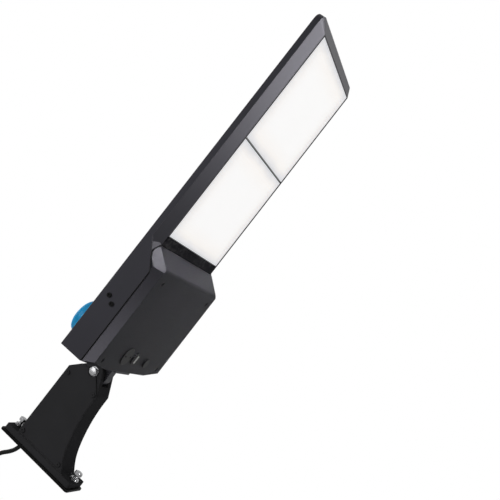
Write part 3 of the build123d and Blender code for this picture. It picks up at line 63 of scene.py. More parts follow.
# Supply lead, with the route's points from the part's source
LEAD_DIAMETER = 0.0075
LEAD_ROUTE = (
    (0.0060, 0.0, 0.0440), (-0.0065, 0.0, 0.0440), (-0.0185, 0.0, 0.0475), (-0.0290, 0.0, 0.0545),
    (-0.0385, 0.0, 0.0640), (-0.0500, -0.0005, 0.0700), (-0.0625, -0.0010, 0.0725),
    (-0.0755, -0.0015, 0.0715), (-0.0875, -0.0020, 0.0665), (-0.0975, -0.0025, 0.0580),
    (-0.1045, -0.0030, 0.0470), (-0.1080, -0.0035, 0.0345), (-0.1095, -0.0040, 0.0185),
    (-0.1100, -0.0040, -0.0055), (-0.1095, -0.0035, -0.0295),
)
LEAD_ROUND_STEPS = 8        # steps round a quarter of the lead
LEAD_RUN_STEPS = 12         # steps from one point of the route to the next

# Cores at the lead's end, stripped for splicing
CORE_COLOURS = ("core_black", "core_white", "core_green")
CORE_RADIUS = 0.0013
CORE_RING = 0.0022          # from the lead's middle to a core's middle
CORE_LENGTH = 0.030
CORE_TUCK = 0.002           # how far a core starts inside the jacket
CORE_STRIP = 0.009
CORE_END_RUN = 0.0004       # the sleeve's softened end, along the core and inwards
CORE_END_DROP = 0.0003
WIRE_RADIUS = 0.00082
WIRE_LAY = 0.014            # length of one turn of the strands
WIRE_ROWS = 24
STRAND_COUNT = 7
STRAND_DEPTH = 0.10         # groove between strands, as a share of the wire's radius

# Bolts and nut
HEX_FLATS = 0.013
HEX_TOP_RADIUS = 0.0060     # flat circle that the chamfer leaves on a hexagon's face
HEX_CHAMFER_SLOPE = 1.73    # growth of the chamfer's radius along the axis
HEX_CHAMFER_STEPS = (0.0, 0.0003, 0.0006, 0.0009)
HEAD_THICK = 0.0053
NUT_BORE = 0.0041
THREAD_RADIUS = 0.00395
THREAD_PITCH = 0.00125
THREAD_DEPTH = 0.0007
THREAD_FLAT = 0.125         # half the flat at a crest or root, as a share of the slope between them
THREAD_STEPS = 8            # rows along one pitch
TURN_STEPS = 48             # points round a piece, a multiple of six
PIVOT_PLAIN = 0.045         # unthreaded length of the pivot bolt with its head
SHARP_ANGLE = 0.6

# Selector lever
LEVER_PROUD = 0.0012
LEVER_SOFTENING = 0.0004

# Coats. A range is the part of a noise or mask that takes an effect from nothing to full.
WHITE = (1.0, 1.0, 1.0, 1.0)
COOL = (0.90, 0.87, 1.0, 1.0)   # cast of the paint's reflections
SOFT_RADIUS = 0.0008        # how far from an edge the coat looks rounded, where no other radius is given
WEAR_AND_HIGHLIGHT_RADIUS = 0.0006        # how far from an edge it is rubbed and painted lighter as a highlight, at most
WEAR_AND_HIGHLIGHT_RANGE = (0.995, 0.90)  # cosine of the angle between the true and the rounded normal
DRIFT_RANGE = (0.3, 0.7)
FLECK_RANGE = (0.40, 0.62)
LEAST_WEAR_AND_HIGHLIGHT = 0.15           # wear and painted highlight of an edge where there is no fleck
GLOSS_BREAK = 0.10          # how much the flecks change the roughness
GRAIN_DISTANCE = 0.0002
DULL_ROUGHNESS = 0.66
DULL_BOXES = (              # over the cover's front corners
    ((0.4040, -0.1468, 0.0088), (0.4216, -0.1330, 0.0200)),
    ((0.4040, 0.1330, 0.0088), (0.4216, 0.1468, 0.0200)),
)
# Painted shade: the strip between the cover's nose and the rear lens, where shade falls, is painted very
# dark and made metallic so that it reflects next to nothing; lighter noise mottles are painted into it as
# its reflections.
PAINTED_SHADE_ROUGHNESS = 0.95
PAINTED_SHADE_BOX = (               # between the cover's nose and the rear lens
    (0.4170, -0.1295, 0.0085), (0.4372, 0.1295, 0.0095),
)
PAINTED_SHADE_TONE = 0.001
PAINTED_REFLECTION_TONE = 0.018
PAINTED_REFLECTION_SCALE = 180.0
PAINTED_REFLECTION_RANGE = (0.50, 0.75)

# Lens
LENS_SEAL_SIDE = 0.0030     # dark line along a lens's sides
LENS_SEAL_END = 0.0009      # paler line at its ends
SEAL_SIDE_TONE = 0.02
SEAL_END_TONE = 0.20
SEAL_BLUR = 0.2             # how soft these lines' edges are, as a share of their width
LENS_FADE_ENDS = 0.016      # how far in from its ends a lens is dimmer
LENS_FADE_SIDES = 0.035
LENS_RIPPLE = 0.012         # how far the dimmer ends wander
LENS_GLOW = 0.71
LENS_WHITE = (0.90, 0.90, 0.90, 1.0)
LENS_CREAM = (0.88, 0.75, 0.62, 1.0)
LENS_DIM = (0.66, 0.67, 0.70, 1.0)
CHIP_PITCH = 0.0058
SPOT_RANGE = (0.45, 0.10)   # radius of the creamy spot over a chip, in pitches
SPOT_FADE = (0.005, 0.045)  # distances from the edge where spots start and stop fading
SPOT_LEAST = 0.12           # what is left of the spots further in

# Photocontrol's cup
CUP_DEEP = (0.010, 0.26, 0.54, 1.0)
CUP_THIN = (0.045, 0.42, 0.78, 1.0)
CUP_EDGE = (0.10, 0.42, 0.66, 1.0)

# Stage. The floor's glow grows from the near value to the far one between two distances.
FLOOR_Z = -1.8
FLOOR_HALF = 6.0
NEAR_GLOW = 0.55
FAR_GLOW = 0.80
GLOW_START = 1.8
GLOW_END = 4.0
AMBIENT = 0.25

# Lamps: place, target, width and length, power, and a card's angle of spread
LAMPS = {
    "key": ((0.45, -2.2, 0.9), (0.45, 0.0, 0.0), (1.6, 1.6), 29.0),
    "overhead": ((0.4, 0.1, 2.2), (0.4, 0.0, 0.0), (1.5, 1.5), 20.0),
}
CARDS = {
    "floor_card": ((1.22, 0.0, -0.86), (1.1, 0.0, 0.0), (0.28, 0.9), 49.0, 2.8),
    "front_card": ((2.05, 0.0, -0.70), (0.41, 0.0, 0.0), (0.28, 0.5), 21.0, 1.1),
    "side_card": ((-0.10, -0.48, -0.86), (0.25, -0.14, -0.02), (0.40, 0.5), 46.0, 2.4),
}
CARD_RECEIVER = {"side_card": "driver_cover"}   # the only node that a card lights


def place_camera():
    """Camera at the photograph's viewpoint, as fitted to the object's edges."""
    data = bpy.data.cameras.new("camera")
    data.sensor_width = SENSOR_WIDTH
    data.lens = SENSOR_WIDTH * FOCAL_PIXELS / PHOTO_WIDTH
    data.clip_start = CLIP_START
    camera = bpy.data.objects.new("camera", data)
    turn = Matrix((CAMERA_RIGHT, -Vector(CAMERA_DOWN), -Vector(CAMERA_FORWARD))).transposed()
    camera.matrix_world = Matrix.Translation(CAMERA_PLACE) @ turn.to_4x4()
    bpy.context.collection.objects.link(camera)
    bpy.context.scene.camera = camera


# Node trees


def add_node(tree, kind, sockets=None, **settings):
    """Adds a node. A socket of the tree given as a value is linked, anything else is set."""
    node = tree.nodes.new(kind)
    for name, value in settings.items():
        setattr(node, name, value)
    for name, value in (sockets or {}).items():
        socket = node.inputs[name]
        if isinstance(value, bpy.types.NodeSocket):
            tree.links.new(value, socket)
        else:
            socket.default_value = value
    return node


def mix_colours(tree, share, first, second):
    """Colour between two colours, by a share from 0 to 1."""
    sockets = {0: share, 6: first, 7: second}
    return add_node(tree, "ShaderNodeMix", sockets, data_type="RGBA").outputs[2]


def remap(tree, value, low, high, new_low=0.0, new_high=1.0):
    """Value taken from one range to another and held within it."""
    sockets = {"Value": value, "From Min": low, "From Max": high, "To Min": new_low, "To Max": new_high}
    return add_node(tree, "ShaderNodeMapRange", sockets).outputs["Result"]


def arithmetic(tree, operation, first, second=0.0, third=0.0):
    """One sum on up to three values."""
    sockets = {0: first, 1: second, 2: third}
    return add_node(tree, "ShaderNodeMath", sockets, operation=operation).outputs[0]


def distance_from(tree, value, middle):
    """How far a value is from a middle one, to either side."""
    return arithmetic(tree, "ABSOLUTE", arithmetic(tree, "SUBTRACT", value, middle))


def noise(tree, coords, scale, detail=2.0, roughness=0.5):
    """Noise value at a place, from about 0 to 1."""
    sockets = {"Vector": coords, "Scale": scale, "Detail": detail, "Roughness": roughness}
    return add_node(tree, "ShaderNodeTexNoise", sockets).outputs["Fac"]


def own_place(tree):
    """Place on the piece, in its own coordinates."""
    return add_node(tree, "ShaderNodeTexCoord").outputs["Object"]


def own_axes(tree):
    """The x, y and z of the place on the piece."""
    return add_node(tree, "ShaderNodeSeparateXYZ", {0: own_place(tree)}).outputs


def new_group(name, inputs, outputs):
    """Empty shader node group with float inputs. Returns it with its inner ends."""
    group = bpy.data.node_groups.new(name, "ShaderNodeTree")
    for label, value in inputs.items():
        socket = group.interface.new_socket(label, in_out="INPUT", socket_type="NodeSocketFloat")
        socket.default_value = value
    for label, kind in outputs.items():
        group.interface.new_socket(label, in_out="OUTPUT", socket_type=kind)
    return group, group.nodes.new("NodeGroupInput").outputs, group.nodes.new("NodeGroupOutput").inputs


def use_group(tree, group, **values):
    """Places a node group in a material, with its own values."""
    node = tree.nodes.new("ShaderNodeGroup")
    node.node_tree = group
    for label, value in values.items():
        node.inputs[label.replace("_", " ").capitalize()].default_value = value
    return node.outputs


def make_edge_group():
    """Soft edges: a normal rounded over the edges by one radius, and a mask that is 1 on them by another."""
    inputs = {"Radius": SOFT_RADIUS, "Wear radius": WEAR_AND_HIGHLIGHT_RADIUS}
    outputs = {"Normal": "NodeSocketVector", "Edge": "NodeSocketFloat"}
    group, given, made = new_group("soft_edges", inputs, outputs)
    rounded = add_node(group, "ShaderNodeBevel", {"Radius": given["Radius"]}, samples=6)
    # The edges that get wear and a painted lighter highlight.
    edge_wear_and_highlight = add_node(group, "ShaderNodeBevel", {"Radius": given["Wear radius"]}, samples=4)
    true_normal = add_node(group, "ShaderNodeNewGeometry").outputs["True Normal"]
    sockets = {0: edge_wear_and_highlight.outputs[0], 1: true_normal}
    dot = add_node(group, "ShaderNodeVectorMath", sockets, operation="DOT_PRODUCT").outputs["Value"]
    group.links.new(rounded.outputs[0], made["Normal"])
    group.links.new(remap(group, dot, *WEAR_AND_HIGHLIGHT_RANGE), made["Edge"])
    return group


def make_grain_group():
    """Fine grain of a coat or moulding: its height, a drift over the whole piece, and small flecks."""
    inputs = {"Grain scale": 1400.0, "Drift scale": 9.0}
    outputs = {"Height": "NodeSocketFloat", "Drift": "NodeSocketFloat", "Fleck": "NodeSocketFloat"}
    group, given, made = new_group("fine_grain", inputs, outputs)
    place = own_place(group)
    group.links.new(noise(group, place, given["Grain scale"], 2.0, 0.55), made["Height"])
    group.links.new(noise(group, place, given["Drift scale"], 3.0, 0.6), made["Drift"])
    fleck_scale = arithmetic(group, "MULTIPLY", given["Grain scale"], 0.4)
    group.links.new(noise(group, place, fleck_scale, 4.0, 0.7), made["Fleck"])
    return group


EDGES = make_edge_group()
GRAIN = make_grain_group()


# Finishes


def grey(level, blue=1.0):
    """Opaque grey, a little blue or brown by the last value."""
    return (level, level, level * blue, 1.0)


def new_material(name):
    """Material with one Principled shader. Returns the material, its tree and the shader's sockets."""
    material = bpy.data.materials.new(name)
    material.use_nodes = True
    tree = material.node_tree
    tree.nodes.clear()
    shader = tree.nodes.new("ShaderNodeBsdfPrincipled")
    output = tree.nodes.new("ShaderNodeOutputMaterial")
    tree.links.new(shader.outputs["BSDF"], output.inputs["Surface"])
    return material, tree, shader.inputs


def drifting(tree, grain, first, second):
    """Colour that drifts between two colours over the piece."""
    return mix_colours(tree, remap(tree, grain["Drift"], *DRIFT_RANGE), first, second)


def raise_grain(tree, shader, sockets):
    """Gives a finish its bump, by the values of a Bump node's sockets."""
    tree.links.new(add_node(tree, "ShaderNodeBump", sockets).outputs[0], shader["Normal"])


def inside(tree, low, high):
    """Mask that is 1 inside a box given by its two corners."""
    axes = own_axes(tree)
    mask = 1.0
    for axis in range(3):
        away = distance_from(tree, axes[axis], (low[axis] + high[axis]) / 2)
        within = arithmetic(tree, "LESS_THAN", away, (high[axis] - low[axis]) / 2)
        mask = arithmetic(tree, "MULTIPLY", mask, within)
    return mask


def coated(name, dark, light, edge_wear_and_highlight, roughness, specular, grain_scale, bump, radius=SOFT_RADIUS, metallic=0.0,
           tint=WHITE, dull=(), black=None):
    """Opaque finish: colour drifts from dark to light, edges wear and take a painted highlight, grain stands
    up and breaks the gloss.

    Inside the dull boxes the coat is rougher. Inside the shade box it is painted very dark as shade and made
    metallic, with lighter mottles painted in as reflections.
    """
    material, tree, shader = new_material(name)
    edges = use_group(tree, EDGES, radius=radius, wear_radius=min(radius, WEAR_AND_HIGHLIGHT_RADIUS))
    grain = use_group(tree, GRAIN, grain_scale=grain_scale)
    # Edges get a lighter colour, partly wear and partly a painted highlight, broken up by the flecks.
    flecked = remap(tree, grain["Fleck"], *FLECK_RANGE, LEAST_WEAR_AND_HIGHLIGHT, 1.0)
    edge_wear_and_highlight_mask = arithmetic(tree, "MULTIPLY", edges["Edge"], flecked)
    body = mix_colours(tree, edge_wear_and_highlight_mask, drifting(tree, grain, dark, light), edge_wear_and_highlight)
    fine = arithmetic(tree, "MULTIPLY_ADD", grain["Fleck"], GLOSS_BREAK, roughness - GLOSS_BREAK / 2)
    shader["Metallic"].default_value = metallic
    for low, high in dull:
        fine = remap(tree, inside(tree, low, high), 0.0, 1.0, fine, DULL_ROUGHNESS)
    # Painted shade: inside the box the coat is painted very dark and metallic, with lighter noise mottles
    # painted in as reflections.
    if black:
        mask = inside(tree, *black)
        painted_reflection_mottle = remap(tree, noise(tree, own_place(tree), PAINTED_REFLECTION_SCALE, 3.0, 0.6), *PAINTED_REFLECTION_RANGE)
        painted_shade_body = mix_colours(tree, painted_reflection_mottle, grey(PAINTED_SHADE_TONE), grey(PAINTED_REFLECTION_TONE))
        body = mix_colours(tree, mask, body, painted_shade_body)
        fine = remap(tree, mask, 0.0, 1.0, fine, PAINTED_SHADE_ROUGHNESS)
        tree.links.new(mask, shader["Metallic"])
    tree.links.new(body, shader["Base Color"])
    tree.links.new(fine, shader["Roughness"])
    raise_grain(tree, shader, {"Height": grain["Height"], "Normal": edges["Normal"], "Strength": bump,
                               "Distance": GRAIN_DISTANCE})
    shader["Specular IOR Level"].default_value = specular
    shader["Specular Tint"].default_value = tint
    return material


def frosted(name, node):
    """Lit frosted lens: white, dimmer near its ends and sides, creamy spots over the chips, a dark seal.

    The distance to an edge is half the lens's size less the distance from its middle.
    """
    material, tree, shader = new_material(name)
    low, high = [np.array(corner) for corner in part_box(node)]
    middle = (low + high) / 2
    half = (high - low) / 2
    grain = use_group(tree, GRAIN, grain_scale=2200.0, drift_scale=30.0)
    axes = own_axes(tree)
    to_end, to_side = [
        arithmetic(tree, "SUBTRACT", half[axis], distance_from(tree, axes[axis], middle[axis]))
        for axis in (0, 1)
    ]
    ripple = arithmetic(tree, "MULTIPLY_ADD", grain["Drift"], LENS_RIPPLE, -LENS_RIPPLE / 2)
    end_light = remap(tree, arithmetic(tree, "ADD", to_end, ripple), 0.0, LENS_FADE_ENDS)
    side_light = arithmetic(tree, "SQRT", remap(tree, to_side, 0.0, LENS_FADE_SIDES))
    lit = arithmetic(tree, "MULTIPLY", end_light, side_light)
    sockets = {"Vector": own_place(tree), "Scale": 1 / CHIP_PITCH, "Randomness": 0.3}
    chips = add_node(tree, "ShaderNodeTexVoronoi", sockets, voronoi_dimensions="2D").outputs["Distance"]
    nearest = arithmetic(tree, "MINIMUM", to_end, to_side)
    spots = arithmetic(tree, "MULTIPLY", remap(tree, chips, *SPOT_RANGE),
                       remap(tree, nearest, *SPOT_FADE, 1.0, SPOT_LEAST))
    body = mix_colours(tree, lit, LENS_DIM, mix_colours(tree, spots, LENS_WHITE, LENS_CREAM))
    seals = ((to_end, LENS_SEAL_END, SEAL_END_TONE), (to_side, LENS_SEAL_SIDE, SEAL_SIDE_TONE))
    for distance, width, tone in seals:
        blur = width * SEAL_BLUR
        body = mix_colours(tree, remap(tree, distance, width + blur, width - blur), body, grey(tone))
    tree.links.new(body, shader["Base Color"])
    tree.links.new(body, shader["Emission Color"])
    shader["Emission Strength"].default_value = LENS_GLOW
    tree.links.new(arithmetic(tree, "MULTIPLY_ADD", grain["Fleck"], 0.16, 0.42), shader["Roughness"])
    shader["Specular IOR Level"].default_value = 0.02
    raise_grain(tree, shader, {"Height": grain["Height"], "Strength": 0.15, "Distance": GRAIN_DISTANCE / 2})
    return material


def tinted(name):
    """Clear blue cup: some light goes through, and the wall's colour deepens and thins in soft streaks."""
    material, tree, shader = new_material(name)
    grain = use_group(tree, GRAIN, grain_scale=700.0, drift_scale=40.0)
    edges = use_group(tree, EDGES, radius=0.0012)
    body = drifting(tree, grain, CUP_DEEP, CUP_THIN)
    body = mix_colours(tree, arithmetic(tree, "MULTIPLY", edges["Edge"], 0.5), body, CUP_EDGE)
    tree.links.new(body, shader["Base Color"])
    tree.links.new(arithmetic(tree, "MULTIPLY_ADD", grain["Fleck"], 0.10, 0.10), shader["Roughness"])
    shader["Transmission Weight"].default_value = 0.12
    shader["IOR"].default_value = 1.45
    shader["Specular IOR Level"].default_value = 0.03
    raise_grain(tree, shader, {"Height": grain["Height"], "Normal": edges["Normal"], "Strength": 0.05,
                               "Distance": GRAIN_DISTANCE})
    return material


# Each coat: dark and light colour, edge colour for wear and painted highlight, roughness, specular level,
# scale of the grain and its bump, and
# then the radius of its softened edges and its metallic value where they aren't the usual ones.
COATS = {
    "head_paint": (grey(0.021, 1.18), grey(0.025, 1.20), grey(0.14), 0.45, 0.10, 1400.0, 0.08),
    "cover_paint": (grey(0.013, 1.22), grey(0.016, 1.24), grey(0.14), 0.38, 0.018, 1400.0, 0.16, 0.0015),
    "fitting_plastic": (grey(0.020, 1.05), grey(0.024, 1.06), grey(0.10), 0.50, 0.05, 1100.0, 0.2, 0.0004),
    "arm_paint": (grey(0.026, 1.05), grey(0.032, 1.07), grey(0.10), 0.50, 0.002, 1400.0, 0.16, 0.0030),
    "plate_paint": (grey(0.005), grey(0.008), grey(0.05), 0.45, 0.02, 1400.0, 0.14),
    "zinc": (grey(0.16, 1.02), grey(0.24, 1.03), grey(0.50), 0.26, 0.5, 900.0, 0.10, 0.0003, 1.0),
    "satin_aluminium": (grey(0.60), grey(0.70), grey(0.80), 0.42, 0.5, 900.0, 0.08, 0.0003, 1.0),
    "brass": ((0.50, 0.34, 0.12, 1.0), (0.66, 0.48, 0.20, 1.0), (0.80, 0.64, 0.34, 1.0),
              0.30, 0.5, 900.0, 0.08, 0.0003, 1.0),
    "copper": ((0.46, 0.20, 0.10, 1.0), (0.62, 0.29, 0.15, 1.0), (0.75, 0.42, 0.26, 1.0),
               0.32, 0.5, 1500.0, 0.06, 0.0001, 1.0),
    "rubber": (grey(0.005), grey(0.008), grey(0.02), 0.72, 0.02, 900.0, 0.2, 0.0004),
    "black_plastic": (grey(0.014), grey(0.020), grey(0.06), 0.50, 0.04, 1100.0, 0.2, 0.0004),
    "white_plastic": (grey(0.76, 0.97), grey(0.84, 0.98), grey(0.90), 0.45, 0.10, 900.0, 0.1, 0.0003),
    "board": (grey(0.78), grey(0.84), grey(0.86), 0.40, 0.2, 500.0, 0.1, 0.0002),
    "phosphor": ((0.80, 0.60, 0.16, 1.0), (0.88, 0.70, 0.24, 1.0), (0.90, 0.80, 0.40, 1.0),
                 0.30, 0.3, 900.0, 0.1, 0.0002),
    "jacket": (grey(0.009), grey(0.013), grey(0.03), 0.50, 0.06, 900.0, 0.12, 0.0004),
    "core_black": (grey(0.012), grey(0.018), grey(0.04), 0.45, 0.1, 900.0, 0.08, 0.0002),
    "core_white": (grey(0.72, 0.96), grey(0.80, 0.97), grey(0.85), 0.45, 0.1, 900.0, 0.08, 0.0002),
    "core_green": ((0.01, 0.16, 0.04, 1.0), (0.02, 0.22, 0.06, 1.0), (0.10, 0.30, 0.10, 1.0),
                   0.45, 0.1, 900.0, 0.08, 0.0002),
}
COAT_EXTRAS = {
    "head_paint": {"tint": COOL, "dull": DULL_BOXES, "black": PAINTED_SHADE_BOX},
    "cover_paint": {"tint": COOL},
}
FINISHES = {name: coated(name, *values, **COAT_EXTRAS.get(name, {})) for name, values in COATS.items()}
FINISHES["lens_rear"] = frosted("lens_rear", "lens_rear")
FINISHES["lens_front"] = frosted("lens_front", "lens_front")
FINISHES["blue_cup"] = tinted("blue_cup")
SLOT_FINISH = {
    "black_paint": "head_paint", "black_steel": "plate_paint", "zinc_steel": "zinc",
    "bare_aluminium": "satin_aluminium", "rubber": "rubber", "black_plastic": "black_plastic",
    "white_plastic": "white_plastic", "blue_plastic": "blue_cup", "board": "board",
    "chip": "phosphor", "brass": "brass", "lead_jacket": "jacket", "core_sleeve": "core_white",
}
NODE_FINISH = {
    "arm_casting": "arm_paint", "arm_cover": "arm_paint", "arm_cover_screws": "arm_paint",
    "driver_cover": "cover_paint", "cover_screws": "cover_paint",
    "sensor_port_cap": "fitting_plastic", "selector_knob": "fitting_plastic",
    "breather_vent": "fitting_plastic",
    "lens_rear": "lens_rear", "lens_front": "lens_front",
}


def dress_nodes():
    """Gives each CAD node its own finish, or that of its slot."""
    for part in frame["record"]["subparts"]:
        name = part["node"]
        finish = NODE_FINISH[name] if name in NODE_FINISH else SLOT_FINISH[part["material_slot"]]
        for slot in NODES[name].material_slots:
            slot.material = FINISHES[finish]


# Turned and threaded pieces


def skin(name, points, looped=False):
    """Mesh over a grid of points that closes round its columns. Its rows close too, or end in flat caps."""
    rows, columns = points.shape[:2]
    index = np.arange(rows * columns).reshape(rows, columns)
    beside = np.roll(index, -1, axis=1)
    quads = np.stack((index, beside, np.roll(beside, -1, axis=0), np.roll(index, -1, axis=0)), axis=-1)
    faces = quads[:rows if looped else -1].reshape(-1, 4).tolist()
    if not looped:
        faces += [index[0, ::-1].tolist(), index[-1].tolist()]
    mesh = bpy.data.meshes.new(name)
    mesh.from_pydata(points.reshape(-1, 3).tolist(), [], faces)
    mesh.shade_smooth()
    mesh.set_sharp_from_angle(angle=SHARP_ANGLE)
    return mesh


def turns():
    """Angles of the points round a piece."""
    return np.arange(TURN_STEPS) * 2 * np.pi / TURN_STEPS


def around(start, axis, up, along, radius):
    """Points round a straight axis: start + along * axis + radius * (cos turn * up + sin turn * side)."""
    turn = turns()
    side = np.cross(axis, up)
    spoke = np.cos(turn)[:, None] * up + np.sin(turn)[:, None] * side
    return np.array(start) + along[:, None, None] * np.array(axis) + radius[..., None] * spoke


def hexagon_rows(depth):
    """Radii of a hexagon's rows at depths under its face.

    A side stands half the flats from the axis, so its radius is that over the cosine of the angle from
    the side's middle. A cone that grows from the face's flat circle cuts the corners.
    """
    from_middle = np.mod(turns(), np.pi / 3) - np.pi / 6
    cone = HEX_TOP_RADIUS + HEX_CHAMFER_SLOPE * depth
    return np.minimum(HEX_FLATS / 2 / np.cos(from_middle), cone[:, None])


def thread_rows(along, length):
    """Radii of a thread's rows: a ridge that falls and rises once in a pitch.

    The ridge moves on by a pitch in a turn. Its crest and root are flat, and the bolt's end is chamfered.
    """
    phase = along[:, None] / THREAD_PITCH - turns() / (2 * np.pi)
    valley = np.abs(2 * np.mod(phase, 1.0) - 1)
    fall = np.clip((1 + 2 * THREAD_FLAT) * valley - THREAD_FLAT, 0.0, 1.0)
    chamfer = THREAD_RADIUS - THREAD_DEPTH + np.maximum(length - along, 0.0)
    return np.minimum(THREAD_RADIUS - THREAD_DEPTH * fall, chamfer[:, None])


def add_piece(name, mesh, body, node, finishes):
    """Puts a mesh in the scene on its body, in place of its CAD node."""
    for finish in finishes:
        mesh.materials.append(FINISHES[finish])
    piece = bpy.data.objects.new(name, mesh)
    bpy.context.collection.objects.link(piece)
    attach(piece, body)
    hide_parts(node)
    return piece


def hex_bolt(name, top, axis, length, plain, node):
    """Bolt from the top of its head along its axis: hexagon rows, a plain shank, thread rows to its end."""
    head_along = np.array((*HEX_CHAMFER_STEPS, HEAD_THICK))
    thread_along = np.append(np.arange(plain, length, THREAD_PITCH / THREAD_STEPS), length)
    shank_along = np.array((HEAD_THICK, plain))
    shank = np.full((2, TURN_STEPS), THREAD_RADIUS)
    along = np.concatenate((head_along, shank_along, thread_along))
    radius = np.concatenate((hexagon_rows(head_along), shank, thread_rows(thread_along, length)))
    mesh = skin(name, around(top, axis, (0.0, 0.0, 1.0), along, radius))
    add_piece(name, mesh, "arm", node, ["zinc"])


def mounting_bolts():
    """The two bolts of the pole plate, run in part of the way.

    Their box ends above and below at a hexagon's corner, the flats over the root of three from its axis.
    """
    low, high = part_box("mounting_bolts")
    length = high[0] - low[0]
    for name, z in (("pole_bolt_lower", low[2]), ("pole_bolt_upper", high[2])):
        inward = np.sign(z) * HEX_FLATS / np.sqrt(3)
        top = (high[0], 0.0, z - inward)
        hex_bolt(name, top, (-1.0, 0.0, 0.0), length, HEAD_THICK, "mounting_bolts")


def tilt_bolt_and_nut():
    """Bolt through the knuckle, and its nut.

    The nut is a ring whose rows go up the hexagon's outside and down its bore.
    """
    axis = (0.0, 1.0, 0.0)
    low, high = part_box("pivot_bolt")
    x, z = (low[0] + high[0]) / 2, (low[2] + high[2]) / 2
    hex_bolt("tilt_bolt", (x, low[1], z), axis, high[1] - low[1], PIVOT_PLAIN, "pivot_bolt")
    low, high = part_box("pivot_nut")
    thick = high[1] - low[1]
    steps = np.array(HEX_CHAMFER_STEPS)
    bore = np.full((1, TURN_STEPS), NUT_BORE)
    along = np.concatenate(((0.0,), steps, thick - steps[::-1], (thick,)))
    radius = np.concatenate((bore, hexagon_rows(steps), hexagon_rows(steps[::-1]), bore))
    points = around((x, low[1], z), axis, (0.0, 0.0, 1.0), along, radius)
    mesh = skin("tilt_nut", points, looped=True)
    add_piece("tilt_nut", mesh, "arm", "pivot_nut", ["zinc"])


def selector_lever():
    """White lever in the selector knob: a bar with a flat oval outline, drawn in a little at its outer end.

    The outline's x and y are its half sizes times the cube roots of the cosine and sine of the turn.
    """
    low, high = [np.array(corner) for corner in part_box("selector_pointer")]
    half = (high - low) / 2
    oval = np.stack((np.cbrt(np.cos(turns())) * half[0], -np.cbrt(np.sin(turns())) * half[1]), axis=-1)
    depth = np.array((0.0, 0.0, LEVER_PROUD - LEVER_SOFTENING, LEVER_PROUD))
    depth[1:] += high[2] - low[2]
    drawn_in = np.array((0.0, 0.0, 0.0, LEVER_SOFTENING))
    share = 1 - drawn_in[:, None] / half[:2]
    points = np.zeros((len(depth), TURN_STEPS, 3))
    points[..., :2] = (low + half)[:2] + oval * share[:, None, :]
    points[..., 2] = (high[2] - depth)[:, None]
    mesh = skin("selector_lever", points)
    add_piece("selector_lever", mesh, "selector", "selector_pointer", ["white_plastic"])


# Supply lead


def lead_core(name, start, axis, up):
    """Core of the lead: a round sleeve with a softened end, then bare strands that wind round each other.

    Over the bare length the radius dips between the strands, and the dips turn once in a lay.
    """
    sleeve = CORE_LENGTH + CORE_TUCK - CORE_STRIP
    sleeve_along = np.array((0.0, sleeve - CORE_END_RUN, sleeve))
    sleeve_radius = np.array((CORE_RADIUS, CORE_RADIUS, CORE_RADIUS - CORE_END_DROP))
    wire_along = np.linspace(sleeve, CORE_LENGTH + CORE_TUCK, WIRE_ROWS)
    dip = np.cos(STRAND_COUNT * (turns() - 2 * np.pi * wire_along[:, None] / WIRE_LAY))
    wire_radius = WIRE_RADIUS * (1 - STRAND_DEPTH * (1 - dip))
    along = np.concatenate((sleeve_along, wire_along))
    radius = np.concatenate((np.repeat(sleeve_radius[:, None], TURN_STEPS, axis=1), wire_radius))
    mesh = skin(name, around(start, axis, up, along, radius))
    wire = np.arange(len(mesh.polygons)) >= TURN_STEPS * len(sleeve_along)
    wire[-2] = False        # the cap at the sleeve's start
    piece = add_piece(name, mesh, "arm", "lead_cores", [name, "copper"])
    mesh.polygons.foreach_set("material_index", wire.astype(np.int32))
    return piece


def lead_cores():
    """Three cores side by side out of the lead's end, in line with its last run."""
    before, end = np.array(LEAD_ROUTE[-2]), np.array(LEAD_ROUTE[-1])
    axis = (end - before) / np.linalg.norm(end - before)
    side = np.cross(axis, (1.0, 0.0, 0.0))
    side /= np.linalg.norm(side)
    up = np.cross(side, axis)
    cores = []
    for index, name in enumerate(CORE_COLOURS):
        turn = np.pi + index * 2 * np.pi / len(CORE_COLOURS)
        offset = CORE_RING * (np.cos(turn) * up + np.sin(turn) * side)
        cores.append(lead_core(name, end + offset - CORE_TUCK * axis, axis, up))
    return cores


def supply_cable(cores):
    """Round lead on one smooth spline whose control points are the route's points."""
    curve = bpy.data.curves.new("supply_cable", "CURVE")
    curve.dimensions = "3D"
    curve.bevel_depth = LEAD_DIAMETER / 2
    curve.bevel_resolution = LEAD_ROUND_STEPS
    curve.resolution_u = LEAD_RUN_STEPS
    curve.use_fill_caps = True
    spline = curve.splines.new("NURBS")
    spline.points.add(len(LEAD_ROUTE) - 1)
    for point, spot in zip(spline.points, LEAD_ROUTE):
        point.co = (*spot, 1.0)
    spline.order_u = 3
    spline.use_endpoint_u = True
    curve.materials.append(FINISHES["jacket"])
    cable = bpy.data.objects.new("supply_cable", curve)
    bpy.context.collection.objects.link(cable)
    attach(cable, "arm")
    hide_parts("power_lead")


# Stage


def background_seen(tree):
    """Value that is 1 where the background is seen directly, in a reflection or through glass."""
    path = add_node(tree, "ShaderNodeLightPath").outputs
    seen = arithmetic(tree, "MAXIMUM", path["Is Camera Ray"], path["Is Glossy Ray"])
    return arithmetic(tree, "MAXIMUM", seen, path["Is Transmission Ray"])


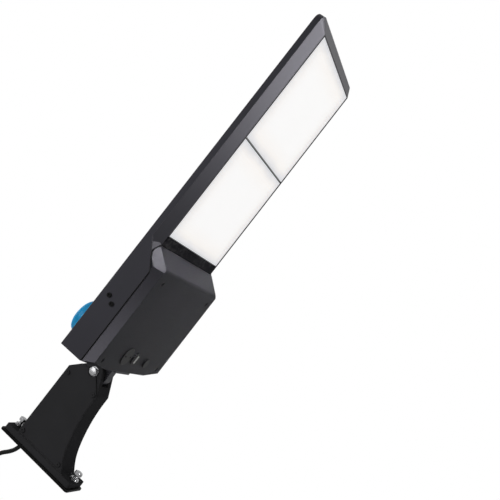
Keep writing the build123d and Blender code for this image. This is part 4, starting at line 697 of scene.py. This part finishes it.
def make_floor():
    """Plain pale floor well below the light, which turns white far off."""
    corners = [(-FLOOR_HALF, -FLOOR_HALF, FLOOR_Z), (FLOOR_HALF, -FLOOR_HALF, FLOOR_Z),
               (FLOOR_HALF, FLOOR_HALF, FLOOR_Z), (-FLOOR_HALF, FLOOR_HALF, FLOOR_Z)]
    mesh = bpy.data.meshes.new("floor")
    mesh.from_pydata(corners, [], [(0, 1, 2, 3)])
    material, tree, shader = new_material("floor_paper")
    tone = noise(tree, own_place(tree), 3.0)
    tree.links.new(mix_colours(tree, tone, grey(0.78), grey(0.80)), shader["Base Color"])
    shader["Roughness"].default_value = 0.9
    shader["Specular IOR Level"].default_value = 0.1
    shader["Emission Color"].default_value = WHITE
    away = add_node(tree, "ShaderNodeVectorMath", {0: own_place(tree)}, operation="LENGTH").outputs["Value"]
    glow = remap(tree, away, GLOW_START, GLOW_END, NEAR_GLOW, FAR_GLOW)
    tree.links.new(arithmetic(tree, "MULTIPLY", glow, background_seen(tree)), shader["Emission Strength"])
    mesh.materials.append(material)
    floor = bpy.data.objects.new("floor", mesh)
    bpy.context.collection.objects.link(floor)


def make_world():
    """White to the eye and in reflections, and a dimmer even light on surfaces."""
    world = bpy.data.worlds.new("studio")
    world.use_nodes = True
    bpy.context.scene.world = world
    tree = world.node_tree
    tree.nodes.clear()
    strength = remap(tree, background_seen(tree), 0.0, 1.0, AMBIENT, 1.0)
    sky = add_node(tree, "ShaderNodeBackground", {"Color": WHITE, "Strength": strength})
    output = tree.nodes.new("ShaderNodeOutputWorld")
    tree.links.new(sky.outputs[0], output.inputs["Surface"])


def area_light(name, place, target, size, power, spread=np.pi):
    """Soft rectangular lamp aimed at a target, unseen by the camera itself."""
    data = bpy.data.lights.new(name, "AREA")
    data.shape = "RECTANGLE"
    data.size, data.size_y = size
    data.energy = power
    data.spread = spread
    lamp = bpy.data.objects.new(name, data)
    aim = Vector(target) - Vector(place)
    lamp.matrix_world = Matrix.Translation(place) @ aim.to_track_quat("-Z", "Y").to_matrix().to_4x4()
    lamp.visible_camera = False
    bpy.context.collection.objects.link(lamp)
    return lamp


def light_only(lamp, node):
    """Keeps a lamp's light on one node."""
    receivers = bpy.data.collections.new(lamp.name + "_receivers")
    receivers.objects.link(NODES[node])
    lamp.light_linking.receiver_collection = receivers


def make_lamps():
    """Lamps that light the whole object, and cards that only show as reflections in its paint."""
    for name, values in LAMPS.items():
        area_light(name, *values)
    for name, values in CARDS.items():
        card = area_light(name, *values)
        card.visible_diffuse = False
        if name in CARD_RECEIVER:
            light_only(card, CARD_RECEIVER[name])


place_camera()
supply_cable(lead_cores())
mounting_bolts()
tilt_bolt_and_nut()
selector_lever()
dress_nodes()
make_floor()
make_world()
make_lamps()
bpy.context.scene.view_settings.view_transform = "Standard"
